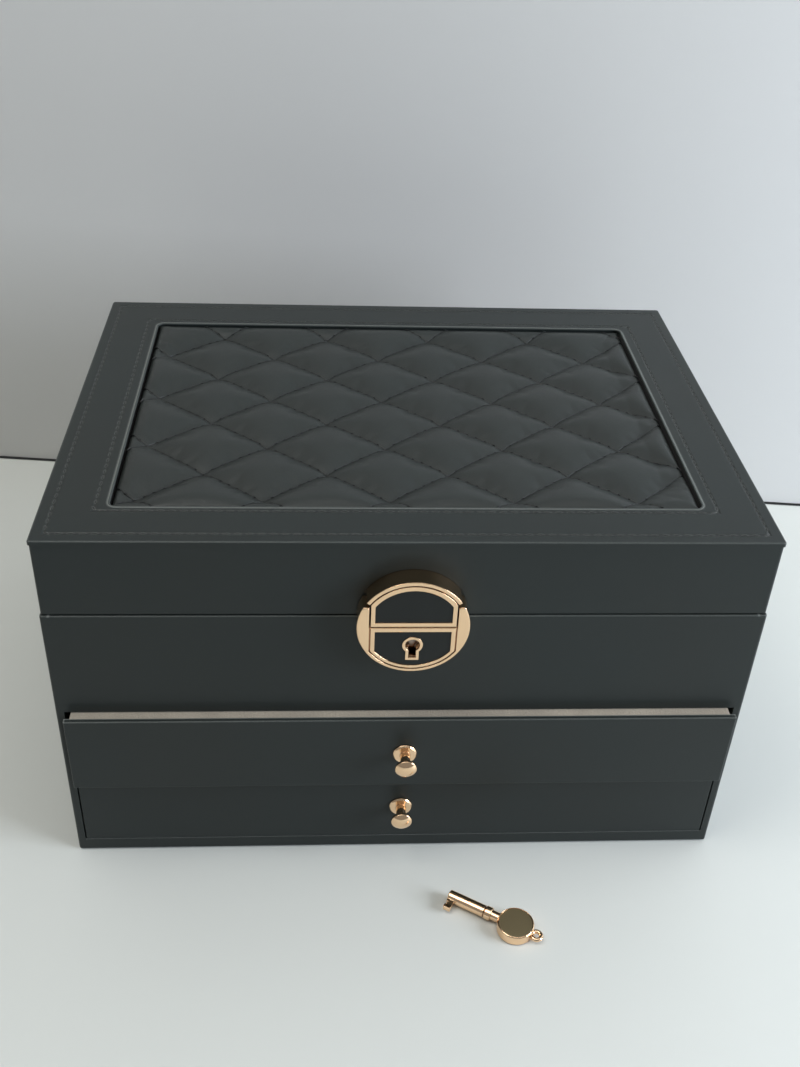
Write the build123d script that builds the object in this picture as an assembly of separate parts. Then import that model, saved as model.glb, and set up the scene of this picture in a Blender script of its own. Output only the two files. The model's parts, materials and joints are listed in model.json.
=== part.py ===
from build123d import *
import math
import os

# Jewelry storage box: a case of wrapped boards with two drawers under a lined tray, a hinged lid with a
# quilted pad in a framed window, a round two-part lock on the seam, and its key lying on the table.
# Millimetres. The origin is the centre of the base on the table; +X is right, +Y is back, +Z is up.

# Case boards
case_width = 260.0
case_depth = 195.0
case_wall = 3.2
base_lining_thickness = 0.6
base_lining_inset = 1.5
base_thickness = 5.8
drawer_bay_height = 33.85
drawer_shelf_thickness = 2.5
tray_shelf_thickness = 3.0
tray_depth = 42.4
corner_radius = 1.2
edge_radius = 0.6

# Lined tray in the top of the case
tray_wall_thickness = 2.4
tray_pad_thickness = 1.0
lip_height = 4.5
lip_clearance = 0.5
divider_thickness = 2.2
tray_divider_height = 30.0
ring_section_share = 0.42
long_divider_share = 0.5
short_divider_share = 0.45
ring_roll_width = 13.0
ring_roll_height = 15.0
ring_roll_spacing = 1.2

# Lid
lid_height = 31.7
seam_gap = 0.3
lid_inset = 0.5
lid_wall = 2.4
lid_lining_thickness = 0.3
top_frame_thickness = 1.7
top_frame_overhang = 0.4
window_front_margin = 21.5
window_back_margin = 23.0
window_side_margin = 23.7
window_corner_radius = 3.0
pad_bed_depth = 5.0
pad_board_thickness = 2.4
mirror_width = 190.0
mirror_depth = 130.0
mirror_thickness = 1.6
mirror_clearance = 0.2

# Quilted pad
quilt_width = 45.7
quilt_length = 38.1
quilt_crossing_x = -7.0
quilt_crossing_y = 8.1
quilt_seam_depth = 3.2
pillow_height = 3.0
pad_clearance = 0.3
pad_side_angle = 6.0

# Drawers
front_panel_thickness = 2.0
front_panel_side_gap = 0.4
front_panel_edge_gap = 0.3
front_panel_middle_gap = 0.5
front_panel_round = 0.5
shelf_setback = 0.4
drawer_front_wall = 4.0
drawer_wall = 3.0
drawer_floor = 2.4
drawer_side_gap = 2.4
drawer_running_gap = 0.3
drawer_top_gap = 0.5
drawer_back_gap = 2.0
upper_drawer_pulled = 5.4
drawer_divider_drop = 4.0
upper_divider_shares = (1 / 3, 2 / 3)
lower_divider_shares = (0.62,)

# Knobs
knob_x = 0.3
knob_base_radius = 4.6
knob_base_edge = 0.5
knob_base_height = 1.1
knob_stem_radius = 1.95
knob_stem_height = 5.6
knob_head_radius = 4.1
knob_rim_bottom = 7.5
knob_rim_top = 8.5
knob_height = 10.2
knob_screw_radius = 1.5
knob_screw_depth = 4.0
knob_screw_head_radius = 2.9
knob_screw_head_height = 1.6

# Lock, seen from the front about its centre
lock_x = 0.6
lock_rise = 0.5
lock_radius = 20.0
lock_split_rise = 0.45
lock_split_gap = 0.6
lock_frame_half_width = 15.0
lock_frame_radius = 18.2
lock_ear_gap = 0.55
lock_ear_height = 9.0
lock_ear_round = 1.0
lock_arc_angle = 34.0
lock_groove_width = 0.5
lock_groove_depth = 0.9
lock_rim_round = 0.45
inlay_half_width = 13.55
upper_inlay_radius = 16.5
lower_inlay_radius = 17.1
upper_bar = 1.6
lower_bar = 1.8
inlay_thickness = 0.7
inlay_sink = 0.3
inlay_clearance = 0.05
keyhole_drop = 7.75
keyhole_radius = 2.65
keyhole_slot_width = 2.75
keyhole_slot_drop = 5.75
keyhole_band = 1.0

# Lock mechanism, its layers counted from the case's face outwards
back_plate_thickness = 0.8
bolt_thickness = 1.2
rotor_thickness = 1.6
mechanism_gap = 0.4
lock_front_wall = 2.7
cavity_roof = 1.0
bolt_finger_thickness = 1.4
bolt_bar_width = 2.0
bolt_arm_thickness = 1.05
bolt_tine_width = 0.8
fork_clearance = 0.15
rotor_radius = 3.8
rotor_socket_radius = 2.5
rotor_socket_depth = 1.0
rotor_slot_width = 2.0
rotor_stub_radius = 1.1
rotor_stub_clearance = 0.05
rotor_pin_radius = 0.5
rotor_pin_throw = 2.5
rotor_pin_angle = 225.0
rotor_turn = 90.0
back_plate_margin = 0.8
hook_stem_width = 2.4
hook_toe_length = 2.2
hook_toe_thickness = 1.2
hook_boss_half_width = 5.0
hook_boss_height = 8.0
hook_slot_clearance = 0.3
lock_screw_x = 13.0
lock_screw_drop = 7.5
plate_screw_x = 9.5
plate_screw_rise = 7.0
lock_screw_radius = 1.2
lock_screw_depth = 4.0
lock_screw_head_radius = 2.3
lock_screw_head_height = 1.0
screw_clearance = 0.05

# Hinges
hinge_x = 70.0
hinge_leaf_width = 24.0
hinge_leaf_height = 13.0
hinge_leaf_thickness = 0.8
hinge_barrel_radius = 1.8
hinge_barrel_gap = 0.15
hinge_pin_radius = 1.0
hinge_pin_clearance = 0.05
hinge_pin_head = 0.5
hinge_knuckle_gap = 0.3
hinge_middle_share = 0.4
hinge_screw_share = 0.28
hinge_screw_radius = 0.9
hinge_screw_head_radius = 1.9
hinge_screw_head_height = 0.5
hinge_screw_depth = 1.8

# Key, lying on the table in front of the box
key_x = 43.5
key_gap_to_case = 42.3
key_turn = 149.0
key_bow_radius = 7.2
key_bow_thickness = 4.6
key_bow_round = 0.7
key_face_radius = 6.6
key_face_sink = 0.25
key_face_thickness = 0.5
key_length_from_bow = 28.6
key_shaft_radius = 2.4
key_neck_radius = 1.95
key_neck_start = 6.7
key_collar_radius = 2.65
key_collar_start = 10.2
key_collar_length = 2.4
key_groove_width = 0.6
key_tip_chamfer = 0.4
key_bit_width = 2.8
key_bit_reach = 4.0
key_bit_thickness = 2.0
key_bit_setback = 0.5
key_bit_notch_width = 1.2
key_bit_notch_depth = 0.7
key_loop_distance = 8.8
key_loop_radius = 1.85
key_loop_thickness = 1.7

cut_overrun = 1.0

# Places worked out from the sizes
side = case_width / 2
front = -case_depth / 2
back = case_depth / 2
inner_side = side - case_wall
inner_front = front + case_wall
inner_back = back - case_wall
base_top = base_lining_thickness + base_thickness
shelf_bottom = base_top + drawer_bay_height
shelf_top = shelf_bottom + drawer_shelf_thickness
opening_top = shelf_top + drawer_bay_height
tray_floor = opening_top + tray_shelf_thickness
seam = tray_floor + tray_depth

lid_side = side - lid_inset
lid_front = front + lid_inset
lid_back = back - lid_inset
lid_inner_side = lid_side - lid_wall
lid_inner_front = lid_front + lid_wall
lid_inner_back = lid_back - lid_wall
lid_bottom = seam + seam_gap
lid_top = lid_bottom + lid_height
frame_bottom = lid_top - top_frame_thickness
pad_bed = lid_top - pad_bed_depth
pad_board_bottom = pad_bed - pad_board_thickness
mirror_bottom = pad_board_bottom - mirror_thickness

tray_inner_side = inner_side - tray_wall_thickness
tray_inner_front = inner_front + tray_wall_thickness
tray_inner_back = inner_back - tray_wall_thickness
tray_pad_top = tray_floor + tray_pad_thickness
lip_top = seam + lip_height

lock_z = seam + lock_rise
bolt_back = back_plate_thickness + mechanism_gap
bolt_front = bolt_back + bolt_thickness
rotor_back = bolt_front + mechanism_gap
rotor_front = rotor_back + rotor_thickness
cavity_front = rotor_front + mechanism_gap
lock_depth = cavity_front + lock_front_wall
inlay_floor = lock_depth - inlay_sink - inlay_thickness
split_low = lock_split_rise - lock_split_gap / 2
split_high = lock_split_rise + lock_split_gap / 2


def block(x, y, z):
    """A box given by its low and high limits along X, Y and Z."""
    spans = (x, y, z)
    middle = [(low + high) / 2 for low, high in spans]
    return Pos(*middle) * Box(*[high - low for low, high in spans])


def wrapped_outline(half_width, y_front, y_back, bottom, top, rounded_ends):
    """A board box's outer shape, with the soft edges that the wrapping gives it."""
    outline = block((-half_width, half_width), (y_front, y_back), (bottom, top))
    outline = fillet(outline.edges().filter_by(Axis.Z), corner_radius)
    for end in rounded_ends:
        outline = fillet(outline.faces().sort_by(Axis.Z)[end].edges(), edge_radius)
    return outline


# Case

def case_boards():
    """The six boards of the case, the shelf between the drawers and the lining it stands on."""
    outline = wrapped_outline(side, front, back, base_lining_thickness, seam, (0, -1))
    wall_span = (base_top, seam)
    boards = {
        "base_board": block((-side, side), (front, back), (base_lining_thickness, base_top)),
        "left_side_board": block((-side, -inner_side), (front, back), wall_span),
        "right_side_board": block((inner_side, side), (front, back), wall_span),
        "back_board": block((-inner_side, inner_side), (inner_back, back), wall_span),
        "front_board": block((-inner_side, inner_side), (front, inner_front), (opening_top, seam)),
    }
    boards = {name: board & outline for name, board in boards.items()}
    for x in (-hinge_x, hinge_x):
        boards["back_board"] -= hinge_screw_holes(x, False)
    boards["front_board"] -= lock_screws(screw_clearance)

    lined_side = side - base_lining_inset
    boards["base_lining"] = block(
        (-lined_side, lined_side),
        (front + base_lining_inset, back - base_lining_inset),
        (0, base_lining_thickness))
    boards["tray_shelf"] = block(
        (-inner_side, inner_side), (inner_front, inner_back), (opening_top, tray_floor))
    boards["drawer_shelf"] = block(
        (-inner_side, inner_side),
        (front + front_panel_thickness + shelf_setback, inner_back),
        (shelf_bottom, shelf_top))
    return boards


def tray_wall_profile():
    """A tray wall's section: full thickness in the case, thinner where it rises as the lid's lip."""
    outline = Polyline(
        (0, tray_floor),
        (tray_wall_thickness, tray_floor),
        (tray_wall_thickness, seam),
        (tray_wall_thickness - lip_clearance, seam),
        (tray_wall_thickness - lip_clearance, lip_top),
        (0, lip_top),
        close=True)
    return make_face(outline)


def tray_walls():
    """Four lined walls round the tray; the end walls stand between the long ones."""
    long_length = 2 * inner_side
    end_length = tray_inner_back - tray_inner_front
    front_section = Plane((inner_side, tray_inner_front, 0), x_dir=(0, -1, 0), z_dir=(-1, 0, 0))
    back_section = Plane((-inner_side, tray_inner_back, 0), x_dir=(0, 1, 0), z_dir=(1, 0, 0))
    left_section = Plane((-tray_inner_side, tray_inner_front, 0), x_dir=(-1, 0, 0), z_dir=(0, 1, 0))
    right_section = Plane((tray_inner_side, tray_inner_back, 0), x_dir=(1, 0, 0), z_dir=(0, -1, 0))
    walls = {}
    for name, section, length in (
            ("tray_front_wall", front_section, long_length),
            ("tray_back_wall", back_section, long_length),
            ("tray_left_wall", left_section, end_length),
            ("tray_right_wall", right_section, end_length)):
        walls[name] = extrude(section * tray_wall_profile(), amount=length)
    end_trim = block(
        (-lid_inner_lip(), lid_inner_lip()), (front, back), (tray_floor, lip_top + cut_overrun))
    end_trim += block((-side, side), (front, back), (tray_floor, seam))
    for name in ("tray_front_wall", "tray_back_wall"):
        walls[name] = walls[name] & end_trim
    return walls


def lid_inner_lip():
    """Half the width of the lip that the closed lid slips over."""
    return inner_side - lip_clearance


def tray_fittings():
    """The padded tray floor, the dividers and the rows of ring rolls."""
    width = 2 * tray_inner_side
    depth = tray_inner_back - tray_inner_front
    cross_x = -tray_inner_side + width * ring_section_share
    long_y = tray_inner_front + depth * long_divider_share
    right_start = cross_x + divider_thickness
    short_x = right_start + (tray_inner_side - right_start) * short_divider_share
    height = (tray_pad_top, tray_pad_top + tray_divider_height)

    dividers = [
        block((cross_x, right_start), (tray_inner_front, tray_inner_back), height),
        block((right_start, tray_inner_side), (long_y, long_y + divider_thickness), height),
        block((short_x, short_x + divider_thickness), (tray_inner_front, long_y), height),
    ]

    roll_radius = ring_roll_width / 2
    shoulder = ring_roll_height - roll_radius
    section = make_face(
        Line((-roll_radius, 0), (roll_radius, 0))
        + Line((roll_radius, 0), (roll_radius, shoulder))
        + ThreePointArc((roll_radius, shoulder), (0, ring_roll_height), (-roll_radius, shoulder))
        + Line((-roll_radius, shoulder), (-roll_radius, 0)))
    roll_length = cross_x + tray_inner_side - 2 * ring_roll_spacing
    pitch = ring_roll_width + ring_roll_spacing
    roll_count = int((depth - ring_roll_spacing) // pitch)
    start_y = tray_inner_front + (depth - (roll_count - 1) * pitch) / 2
    rolls = []
    for index in range(roll_count):
        origin = (-tray_inner_side + ring_roll_spacing, start_y + index * pitch, tray_pad_top)
        rolls.append(extrude(Plane(origin, x_dir=(0, 1, 0), z_dir=(1, 0, 0)) * section, amount=roll_length))
    return {
        "tray_floor_pad": block(
            (-tray_inner_side, tray_inner_side), (tray_inner_front, tray_inner_back),
            (tray_floor, tray_pad_top)),
        "tray_dividers": Compound(children=dividers),
        "ring_rolls": Compound(children=rolls),
    }


# Lid

def window(margin, z):
    """The window's outline in the top frame, drawn in by a margin, at height z."""
    low_x, high_x = -side + window_side_margin, side - window_side_margin
    low_y, high_y = front + window_front_margin, back - window_back_margin
    outline = RectangleRounded(
        high_x - low_x - 2 * margin, high_y - low_y - 2 * margin, window_corner_radius - margin)
    return Pos((low_x + high_x) / 2, (low_y + high_y) / 2, z) * outline


def lid_boards():
    """The lid's four walls, the frames and board round the pad, and the mirror with its surround."""
    outline = wrapped_outline(lid_side, lid_front, lid_back, lid_bottom, frame_bottom, (0,))
    span = (lid_bottom, frame_bottom)
    boards = {
        "lid_front_board": block((-lid_side, lid_side), (lid_front, lid_inner_front), span),
        "lid_back_board": block((-lid_side, lid_side), (lid_inner_back, lid_back), span),
        "lid_left_board": block((-lid_side, -lid_inner_side), (lid_inner_front, lid_inner_back), span),
        "lid_right_board": block((lid_inner_side, lid_side), (lid_inner_front, lid_inner_back), span),
    }
    boards = {name: board & outline for name, board in boards.items()}
    for x in (-hinge_x, hinge_x):
        boards["lid_back_board"] -= hinge_screw_holes(x, True)
    boards["lid_front_board"] -= plate_screws(screw_clearance)

    frame_side = lid_side + top_frame_overhang
    top_frame = wrapped_outline(
        frame_side, lid_front - top_frame_overhang, lid_back + top_frame_overhang,
        frame_bottom, lid_top, (-1,))
    opening = extrude(window(0, pad_bed), amount=pad_bed_depth + cut_overrun)
    boards["lid_top_frame"] = top_frame - opening
    inner = ((-lid_inner_side, lid_inner_side), (lid_inner_front, lid_inner_back))
    boards["lid_spacer_frame"] = block(*inner, (pad_bed, frame_bottom)) - opening
    boards["pad_board"] = block(*inner, (pad_board_bottom, pad_bed))

    glass = block(
        (-mirror_width / 2, mirror_width / 2), (-mirror_depth / 2, mirror_depth / 2),
        (mirror_bottom, pad_board_bottom))
    glass_seat = offset(glass, amount=mirror_clearance, kind=Kind.INTERSECTION)
    boards["mirror"] = glass
    boards["mirror_surround"] = block(*inner, (mirror_bottom, pad_board_bottom)) - glass_seat

    lining = block(*inner, (lid_bottom, mirror_bottom)) - block(
        (-lid_inner_side + lid_lining_thickness, lid_inner_side - lid_lining_thickness),
        (lid_inner_front + lid_lining_thickness, lid_inner_back - lid_lining_thickness),
        (lid_bottom - cut_overrun, mirror_bottom + cut_overrun))
    for x in (-plate_screw_x, plate_screw_x):
        reach = extrude(
            lock_plane(-lid_inset - lid_wall - lid_lining_thickness - cut_overrun)
            * Pos(x, plate_screw_rise) * Circle(lock_screw_head_radius + mirror_clearance),
            amount=lid_lining_thickness + cut_overrun)
        lining -= reach
    boards["lid_lining"] = lining
    return boards


def pillow(centre_x, centre_y, seam_z):
    """One quilted diamond: a smooth crown between four straight seams, as a short prism."""
    left = Vector(centre_x - quilt_width / 2, centre_y, seam_z)
    along = Vector(quilt_width / 2, -quilt_length / 2, 0)
    across = Vector(quilt_width / 2, quilt_length / 2, 0)
    net = [[left + along * (i / 2) + across * (j / 2) for j in range(3)] for i in range(3)]
    # The middle control point carries a quarter of the crown of a three-by-three patch
    net[1][1] += Vector(0, 0, 4 * pillow_height)
    crown = Face.make_bezier_surface(net)
    return Solid.extrude(crown, Vector(0, 0, -pillow_height - quilt_seam_depth))


def quilted_pad():
    """The pad: rows of puffed diamonds on a slab, its sides drawn in inside the frame's window."""
    seam_z = lid_top - quilt_seam_depth
    reach_x = side - window_side_margin + quilt_width / 2
    reach_y = max(back - window_back_margin, -front - window_front_margin) + quilt_length / 2
    columns = math.ceil((reach_x + abs(quilt_crossing_x)) / (quilt_width / 2))
    rows = math.ceil((reach_y + abs(quilt_crossing_y)) / (quilt_length / 2))
    pillows = []
    for column in range(-columns, columns + 1):
        for row in range(-rows, rows + 1):
            x = quilt_crossing_x + column * quilt_width / 2
            y = quilt_crossing_y + row * quilt_length / 2
            if (column + row) % 2 and abs(x) < reach_x and abs(y) < reach_y:
                pillows.append(pillow(x, y, seam_z))
    slab = extrude(window(pad_clearance, pad_bed), amount=seam_z - pad_bed)
    trim = extrude(
        window(pad_clearance, pad_bed), amount=quilt_seam_depth + pillow_height, taper=pad_side_angle)
    return (slab + pillows) & trim


# Drawers

def knob(front_y, z):
    """A turned knob: a base disc, a stem that flares, and a domed head."""
    dome = knob_height - knob_rim_top
    foot = Polyline(
        (0, knob_height), (0, 0), (knob_base_radius, 0), (knob_base_radius, knob_base_edge),
        (knob_base_radius - knob_base_edge, knob_base_height), (knob_stem_radius, knob_base_height),
        (knob_stem_radius, knob_stem_height))
    flare = ThreePointArc(
        (knob_stem_radius, knob_stem_height),
        ((knob_stem_radius + knob_head_radius) / 2,
         knob_stem_height + (knob_rim_bottom - knob_stem_height) * math.sqrt(1 / 3)),
        (knob_head_radius, knob_rim_bottom))
    rim = Line((knob_head_radius, knob_rim_bottom), (knob_head_radius, knob_rim_top))
    dome_radius = (knob_head_radius ** 2 + dome ** 2) / (2 * dome)
    crown = RadiusArc((knob_head_radius, knob_rim_top), (0, knob_height), -dome_radius)
    profile = make_face([*foot.edges(), flare, rim, crown])
    turned = revolve(Plane.XZ * profile, Axis.Z)
    pilot = Pos(0, 0, knob_screw_depth / 2) * Cylinder(
        knob_screw_radius + screw_clearance, knob_screw_depth)
    return Pos(knob_x, front_y, z) * Rot(90, 0, 0) * (turned - pilot)


def knob_screw(front_y, z, clearance):
    """The screw that holds a knob from inside the drawer; with a clearance, the hole for it."""
    wall = front_panel_thickness + drawer_front_wall
    shank_length = wall + knob_screw_depth - screw_clearance
    shank = Pos(0, 0, shank_length / 2 - wall) * Cylinder(knob_screw_radius + clearance, shank_length)
    head = Pos(0, 0, -wall - knob_screw_head_height / 2) * Cylinder(
        knob_screw_head_radius, knob_screw_head_height)
    return Pos(knob_x, front_y, z) * Rot(90, 0, 0) * (shank + head)


def drawer(name, bay, panel, pulled, divider_shares):
    """One drawer: a wrapped front panel on a lined box of boards, with its knob and dividers."""
    panel_front = front - pulled
    box_front = panel_front + front_panel_thickness
    box_back = inner_back - drawer_back_gap - pulled
    box_side = inner_side - drawer_side_gap
    bottom = bay[0] + drawer_running_gap
    top = bay[1] - drawer_top_gap
    floor_top = bottom + drawer_floor
    panel_side = inner_side - front_panel_side_gap
    middle = (panel[0] + panel[1]) / 2

    front_panel = block((-panel_side, panel_side), (panel_front, box_front), panel)
    front_panel = fillet(front_panel.faces().sort_by(Axis.Y)[0].edges(), front_panel_round)
    hole = knob_screw(panel_front, middle, screw_clearance)
    inner_x = box_side - drawer_wall
    inner_y = (box_front + drawer_front_wall, box_back - drawer_wall)
    wall_z = (floor_top, top)
    side_wall = block((inner_x, box_side), inner_y, wall_z)
    back_wall = block((-box_side, box_side), (inner_y[1], box_back), wall_z)

    dividers = []
    for share in divider_shares:
        x = -inner_x + (2 * inner_x - divider_thickness) * share
        dividers.append(block(
            (x, x + divider_thickness), inner_y, (floor_top, top - drawer_divider_drop)))
    return {
        name + "_front_panel": front_panel - hole,
        name + "_box_front": block(
            (-box_side, box_side), (box_front, inner_y[0]), wall_z) - hole,
        name + "_box_walls": Compound(children=[side_wall, mirror(side_wall, Plane.YZ), back_wall]),
        name + "_box_floor": block((-box_side, box_side), (box_front, box_back), (bottom, floor_top)),
        name + "_dividers": Compound(children=dividers),
        name + "_knob": knob(panel_front, middle),
        name + "_knob_screw": knob_screw(panel_front, middle, 0),
    }


def drawers():
    """Both drawers; their front panels share the opening and hide the shelf between them."""
    opening = opening_top - base_top
    panel_height = (opening - 2 * front_panel_edge_gap - front_panel_middle_gap) / 2
    low = base_top + front_panel_edge_gap
    high = opening_top - front_panel_edge_gap
    pieces = drawer(
        "lower_drawer", (base_top, shelf_bottom), (low, low + panel_height), 0, lower_divider_shares)
    pieces.update(drawer(
        "upper_drawer", (shelf_top, opening_top), (high - panel_height, high), upper_drawer_pulled,
        upper_divider_shares))
    return pieces


# Lock

def lock_plane(depth):
    """The plane parallel to the case's face, at a depth outwards from it, centred on the lock."""
    return Plane((lock_x, front - depth, lock_z), x_dir=(1, 0, 0), z_dir=(0, -1, 0))


def lock_plate(sketch, depth_from, depth_to):
    """A plate with the sketch's outline between two depths outwards from the case's face."""
    return extrude(lock_plane(depth_from) * sketch, amount=depth_to - depth_from)


def rectangle(x, y):
    """A rectangle given by its low and high limits."""
    return Pos((x[0] + x[1]) / 2, (y[0] + y[1]) / 2) * Rectangle(x[1] - x[0], y[1] - y[0])


def d_outline(half_width, radius, limit, upper):
    """A D on its back or its face: a disc cut by two sides and by a bar at height limit."""
    span = (limit, radius + cut_overrun) if upper else (-radius - cut_overrun, limit)
    return Circle(radius) & rectangle((-half_width, half_width), span)


def keyhole_outline(band):
    """The keyhole's outline, grown by a band: a circle over a slot."""
    slot = rectangle(
        (-keyhole_slot_width / 2 - band, keyhole_slot_width / 2 + band),
        (-keyhole_drop - keyhole_slot_drop - band, -keyhole_drop))
    return Pos(0, -keyhole_drop) * Circle(keyhole_radius + band) + slot


def screw_shape(shank_radius, shank_depth, through, head_radius, head_height):
    """A screw along the sketch plane's normal: its head behind the plane, its shank through the wall."""
    shank = extrude(Circle(shank_radius), amount=through + shank_depth)
    head = extrude(Circle(head_radius), amount=-head_height)
    return shank + head


def lock_screws(clearance):
    """Two screws through the front board into the lock's body; with a clearance, their holes."""
    sunk = lock_screw_head_height + clearance
    pair = []
    for x in (-lock_screw_x, lock_screw_x):
        screw = screw_shape(
            lock_screw_radius + clearance, lock_screw_depth + clearance, case_wall - sunk,
            lock_screw_head_radius + clearance, sunk + (cut_overrun if clearance else -clearance))
        pair.append(lock_plane(-case_wall + sunk) * Pos(x, -lock_screw_drop) * screw)
    return Compound(children=pair) if not clearance else pair[0] + pair[1]


def plate_screws(clearance):
    """Two screws through the lid's front board into the upper plate; with a clearance, their holes."""
    pair = []
    for x in (-plate_screw_x, plate_screw_x):
        screw = screw_shape(
            lock_screw_radius + clearance, lock_screw_depth + clearance, lid_wall,
            lock_screw_head_radius, lock_screw_head_height)
        pair.append(lock_plane(-lid_inset - lid_wall) * Pos(x, plate_screw_rise) * screw)
    return Compound(children=pair) if not clearance else pair[0] + pair[1]


def pin_places():
    """Where the rotor's pin stands unlocked and locked, about the lock's centre."""
    places = []
    for angle in (rotor_pin_angle, rotor_pin_angle + rotor_turn):
        turn = math.radians(angle)
        places.append((rotor_pin_throw * math.cos(turn), -keyhole_drop + rotor_pin_throw * math.sin(turn)))
    return places


# Places inside the lock, about its centre
bolt_travel = pin_places()[1][0] - pin_places()[0][0]
roof_y = split_low - cavity_roof
finger_top = roof_y - mechanism_gap
finger_bottom = finger_top - bolt_finger_thickness
toe_top = finger_bottom - mechanism_gap
toe_bottom = toe_top - hook_toe_thickness
stem_left = -hook_stem_width / 2
stem_right = hook_stem_width / 2
toe_left = stem_left - hook_toe_length
bar_right = toe_left - bolt_travel - 2 * mechanism_gap
bar_left = bar_right - bolt_bar_width
finger_tip = stem_left - mechanism_gap - bolt_travel
arm_top = -keyhole_drop - rotor_pin_throw - rotor_pin_radius - fork_clearance
arm_bottom = arm_top - bolt_arm_thickness
tine_top = -keyhole_drop - rotor_stub_radius - mechanism_gap / 2
cavity_left = bar_left - mechanism_gap
cavity_right = rotor_radius + mechanism_gap
cavity_bottom = arm_bottom - mechanism_gap


def lock_body():
    """The lower lock casting: a rounded U with two ears, a framed inlay seat and the bolt's cavity."""
    outline = Circle(lock_radius) & rectangle((-lock_radius, lock_radius), (-lock_radius, lock_ear_height))
    gap = lock_frame_half_width + lock_ear_gap
    outline -= rectangle((-gap, gap), (split_low, lock_radius))
    ear_width = math.sqrt(lock_radius ** 2 - lock_ear_height ** 2) - gap
    ear_tips = outline.vertices().group_by(Axis.Y)[-1]
    outline = fillet(ear_tips, min(lock_ear_round, ear_width / 3))
    body = lock_plate(outline, 0, lock_depth)
    rim = body.faces().sort_by(Axis.Y)[0].outer_wire().edges()
    body = fillet(rim, lock_rim_round)

    groove = d_outline(gap, lock_frame_radius + lock_groove_width, split_low, False)
    groove -= d_outline(lock_frame_half_width, lock_frame_radius, split_low, False)
    body -= lock_plate(groove, lock_depth - lock_groove_depth, lock_depth + cut_overrun)
    seat = d_outline(inlay_half_width, lower_inlay_radius, split_low - lower_bar, False)
    body -= lock_plate(seat, inlay_floor, lock_depth + cut_overrun)
    body -= lock_plate(keyhole_outline(0), 0, lock_depth)

    cavity = rectangle((cavity_left, cavity_right), (cavity_bottom, roof_y))
    body -= lock_plate(cavity, -cut_overrun, cavity_front)
    body -= lock_plate(back_plate_outline(), -cut_overrun, back_plate_thickness)
    slot = rectangle(
        (toe_left - hook_slot_clearance, stem_right + hook_slot_clearance), (roof_y, lock_ear_height))
    body -= lock_plate(slot, bolt_back - hook_slot_clearance, bolt_front + hook_slot_clearance)
    return body - lock_screws(screw_clearance)


def back_plate_outline():
    """The plate that closes the cavity from behind, up to the cavity's roof."""
    return rectangle(
        (cavity_left - back_plate_margin, cavity_right + back_plate_margin),
        (cavity_bottom - back_plate_margin, roof_y))


def upper_plate():
    """The upper lock casting on the lid: a D frame under an arc band, with a pocket for the hook."""
    outline = d_outline(lock_frame_half_width, lock_frame_radius + lock_groove_width, split_high, True)
    reach = 2 * lock_radius
    low, high = math.radians(lock_arc_angle), math.radians(180 - lock_arc_angle)
    wedge = make_face(Polyline(
        (0, 0), (reach * math.cos(low), reach * math.sin(low)), (0, reach),
        (reach * math.cos(high), reach * math.sin(high)), close=True))
    outline += (Circle(lock_radius) - Circle(lock_frame_radius)) & wedge
    plate = lock_plate(outline, -lid_inset, lock_depth)

    groove = d_outline(gap_outline(), lock_frame_radius + lock_groove_width, split_high, True)
    groove -= d_outline(gap_outline(), lock_frame_radius, split_high - cut_overrun, True)
    plate -= lock_plate(groove, lock_depth - lock_groove_depth, lock_depth + cut_overrun)
    seat = d_outline(inlay_half_width, upper_inlay_radius, split_high + upper_bar, True)
    plate -= lock_plate(seat, inlay_floor, lock_depth + cut_overrun)
    plate -= lock_plate(hook_boss_outline(), -lid_inset - cut_overrun, bolt_front)
    return plate - plate_screws(screw_clearance)


def gap_outline():
    """Half the width of the notch between the ears."""
    return lock_frame_half_width + lock_ear_gap


def hook_boss_outline():
    """The hook's boss in the upper plate's pocket, from the split upwards."""
    return rectangle((-hook_boss_half_width, hook_boss_half_width), (split_high, split_high + hook_boss_height))


def hook():
    """The hook: a boss held in the upper plate, and a stem and toe that drop into the lock's body."""
    boss = lock_plate(hook_boss_outline(), -lid_inset, bolt_front)
    stem = rectangle((stem_left, stem_right), (toe_bottom, split_high))
    toe = rectangle((toe_left, stem_left), (toe_bottom, toe_top))
    return boss + lock_plate(stem + toe, bolt_back, bolt_front)


def bolt():
    """The sliding bolt, unlocked: a finger above the hook's toe, a bar, and a fork round the rotor's pin."""
    pin_x = pin_places()[0][0]
    slot_half = rotor_pin_radius + fork_clearance
    fork_left, fork_right = pin_x - slot_half - bolt_tine_width, pin_x + slot_half + bolt_tine_width
    outline = rectangle((bar_left, bar_right), (arm_bottom, finger_top))
    outline += rectangle((bar_right, finger_tip), (finger_bottom, finger_top))
    outline += rectangle((bar_right, fork_right), (arm_bottom, arm_top))
    outline += rectangle((fork_left, fork_right), (arm_bottom, tine_top))
    outline -= rectangle((pin_x - slot_half, pin_x + slot_half), (arm_top, tine_top))
    return lock_plate(outline, bolt_back, bolt_front)


def rotor():
    """The rotor behind the keyhole: a socket for the key's tip, a stub in the back plate, and a pin."""
    centre = Pos(0, -keyhole_drop)
    disc = lock_plate(centre * Circle(rotor_radius), rotor_back, rotor_front)
    socket = Circle(rotor_socket_radius) + rectangle(
        (-rotor_slot_width / 2, rotor_slot_width / 2), (-rotor_radius - cut_overrun, 0))
    disc -= lock_plate(centre * socket, rotor_front - rotor_socket_depth, rotor_front + cut_overrun)
    stub = lock_plate(centre * Circle(rotor_stub_radius), rotor_stub_clearance, rotor_back)
    pin = lock_plate(
        Pos(*pin_places()[0]) * Circle(rotor_pin_radius), bolt_back, rotor_back)
    return disc + stub + pin


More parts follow.
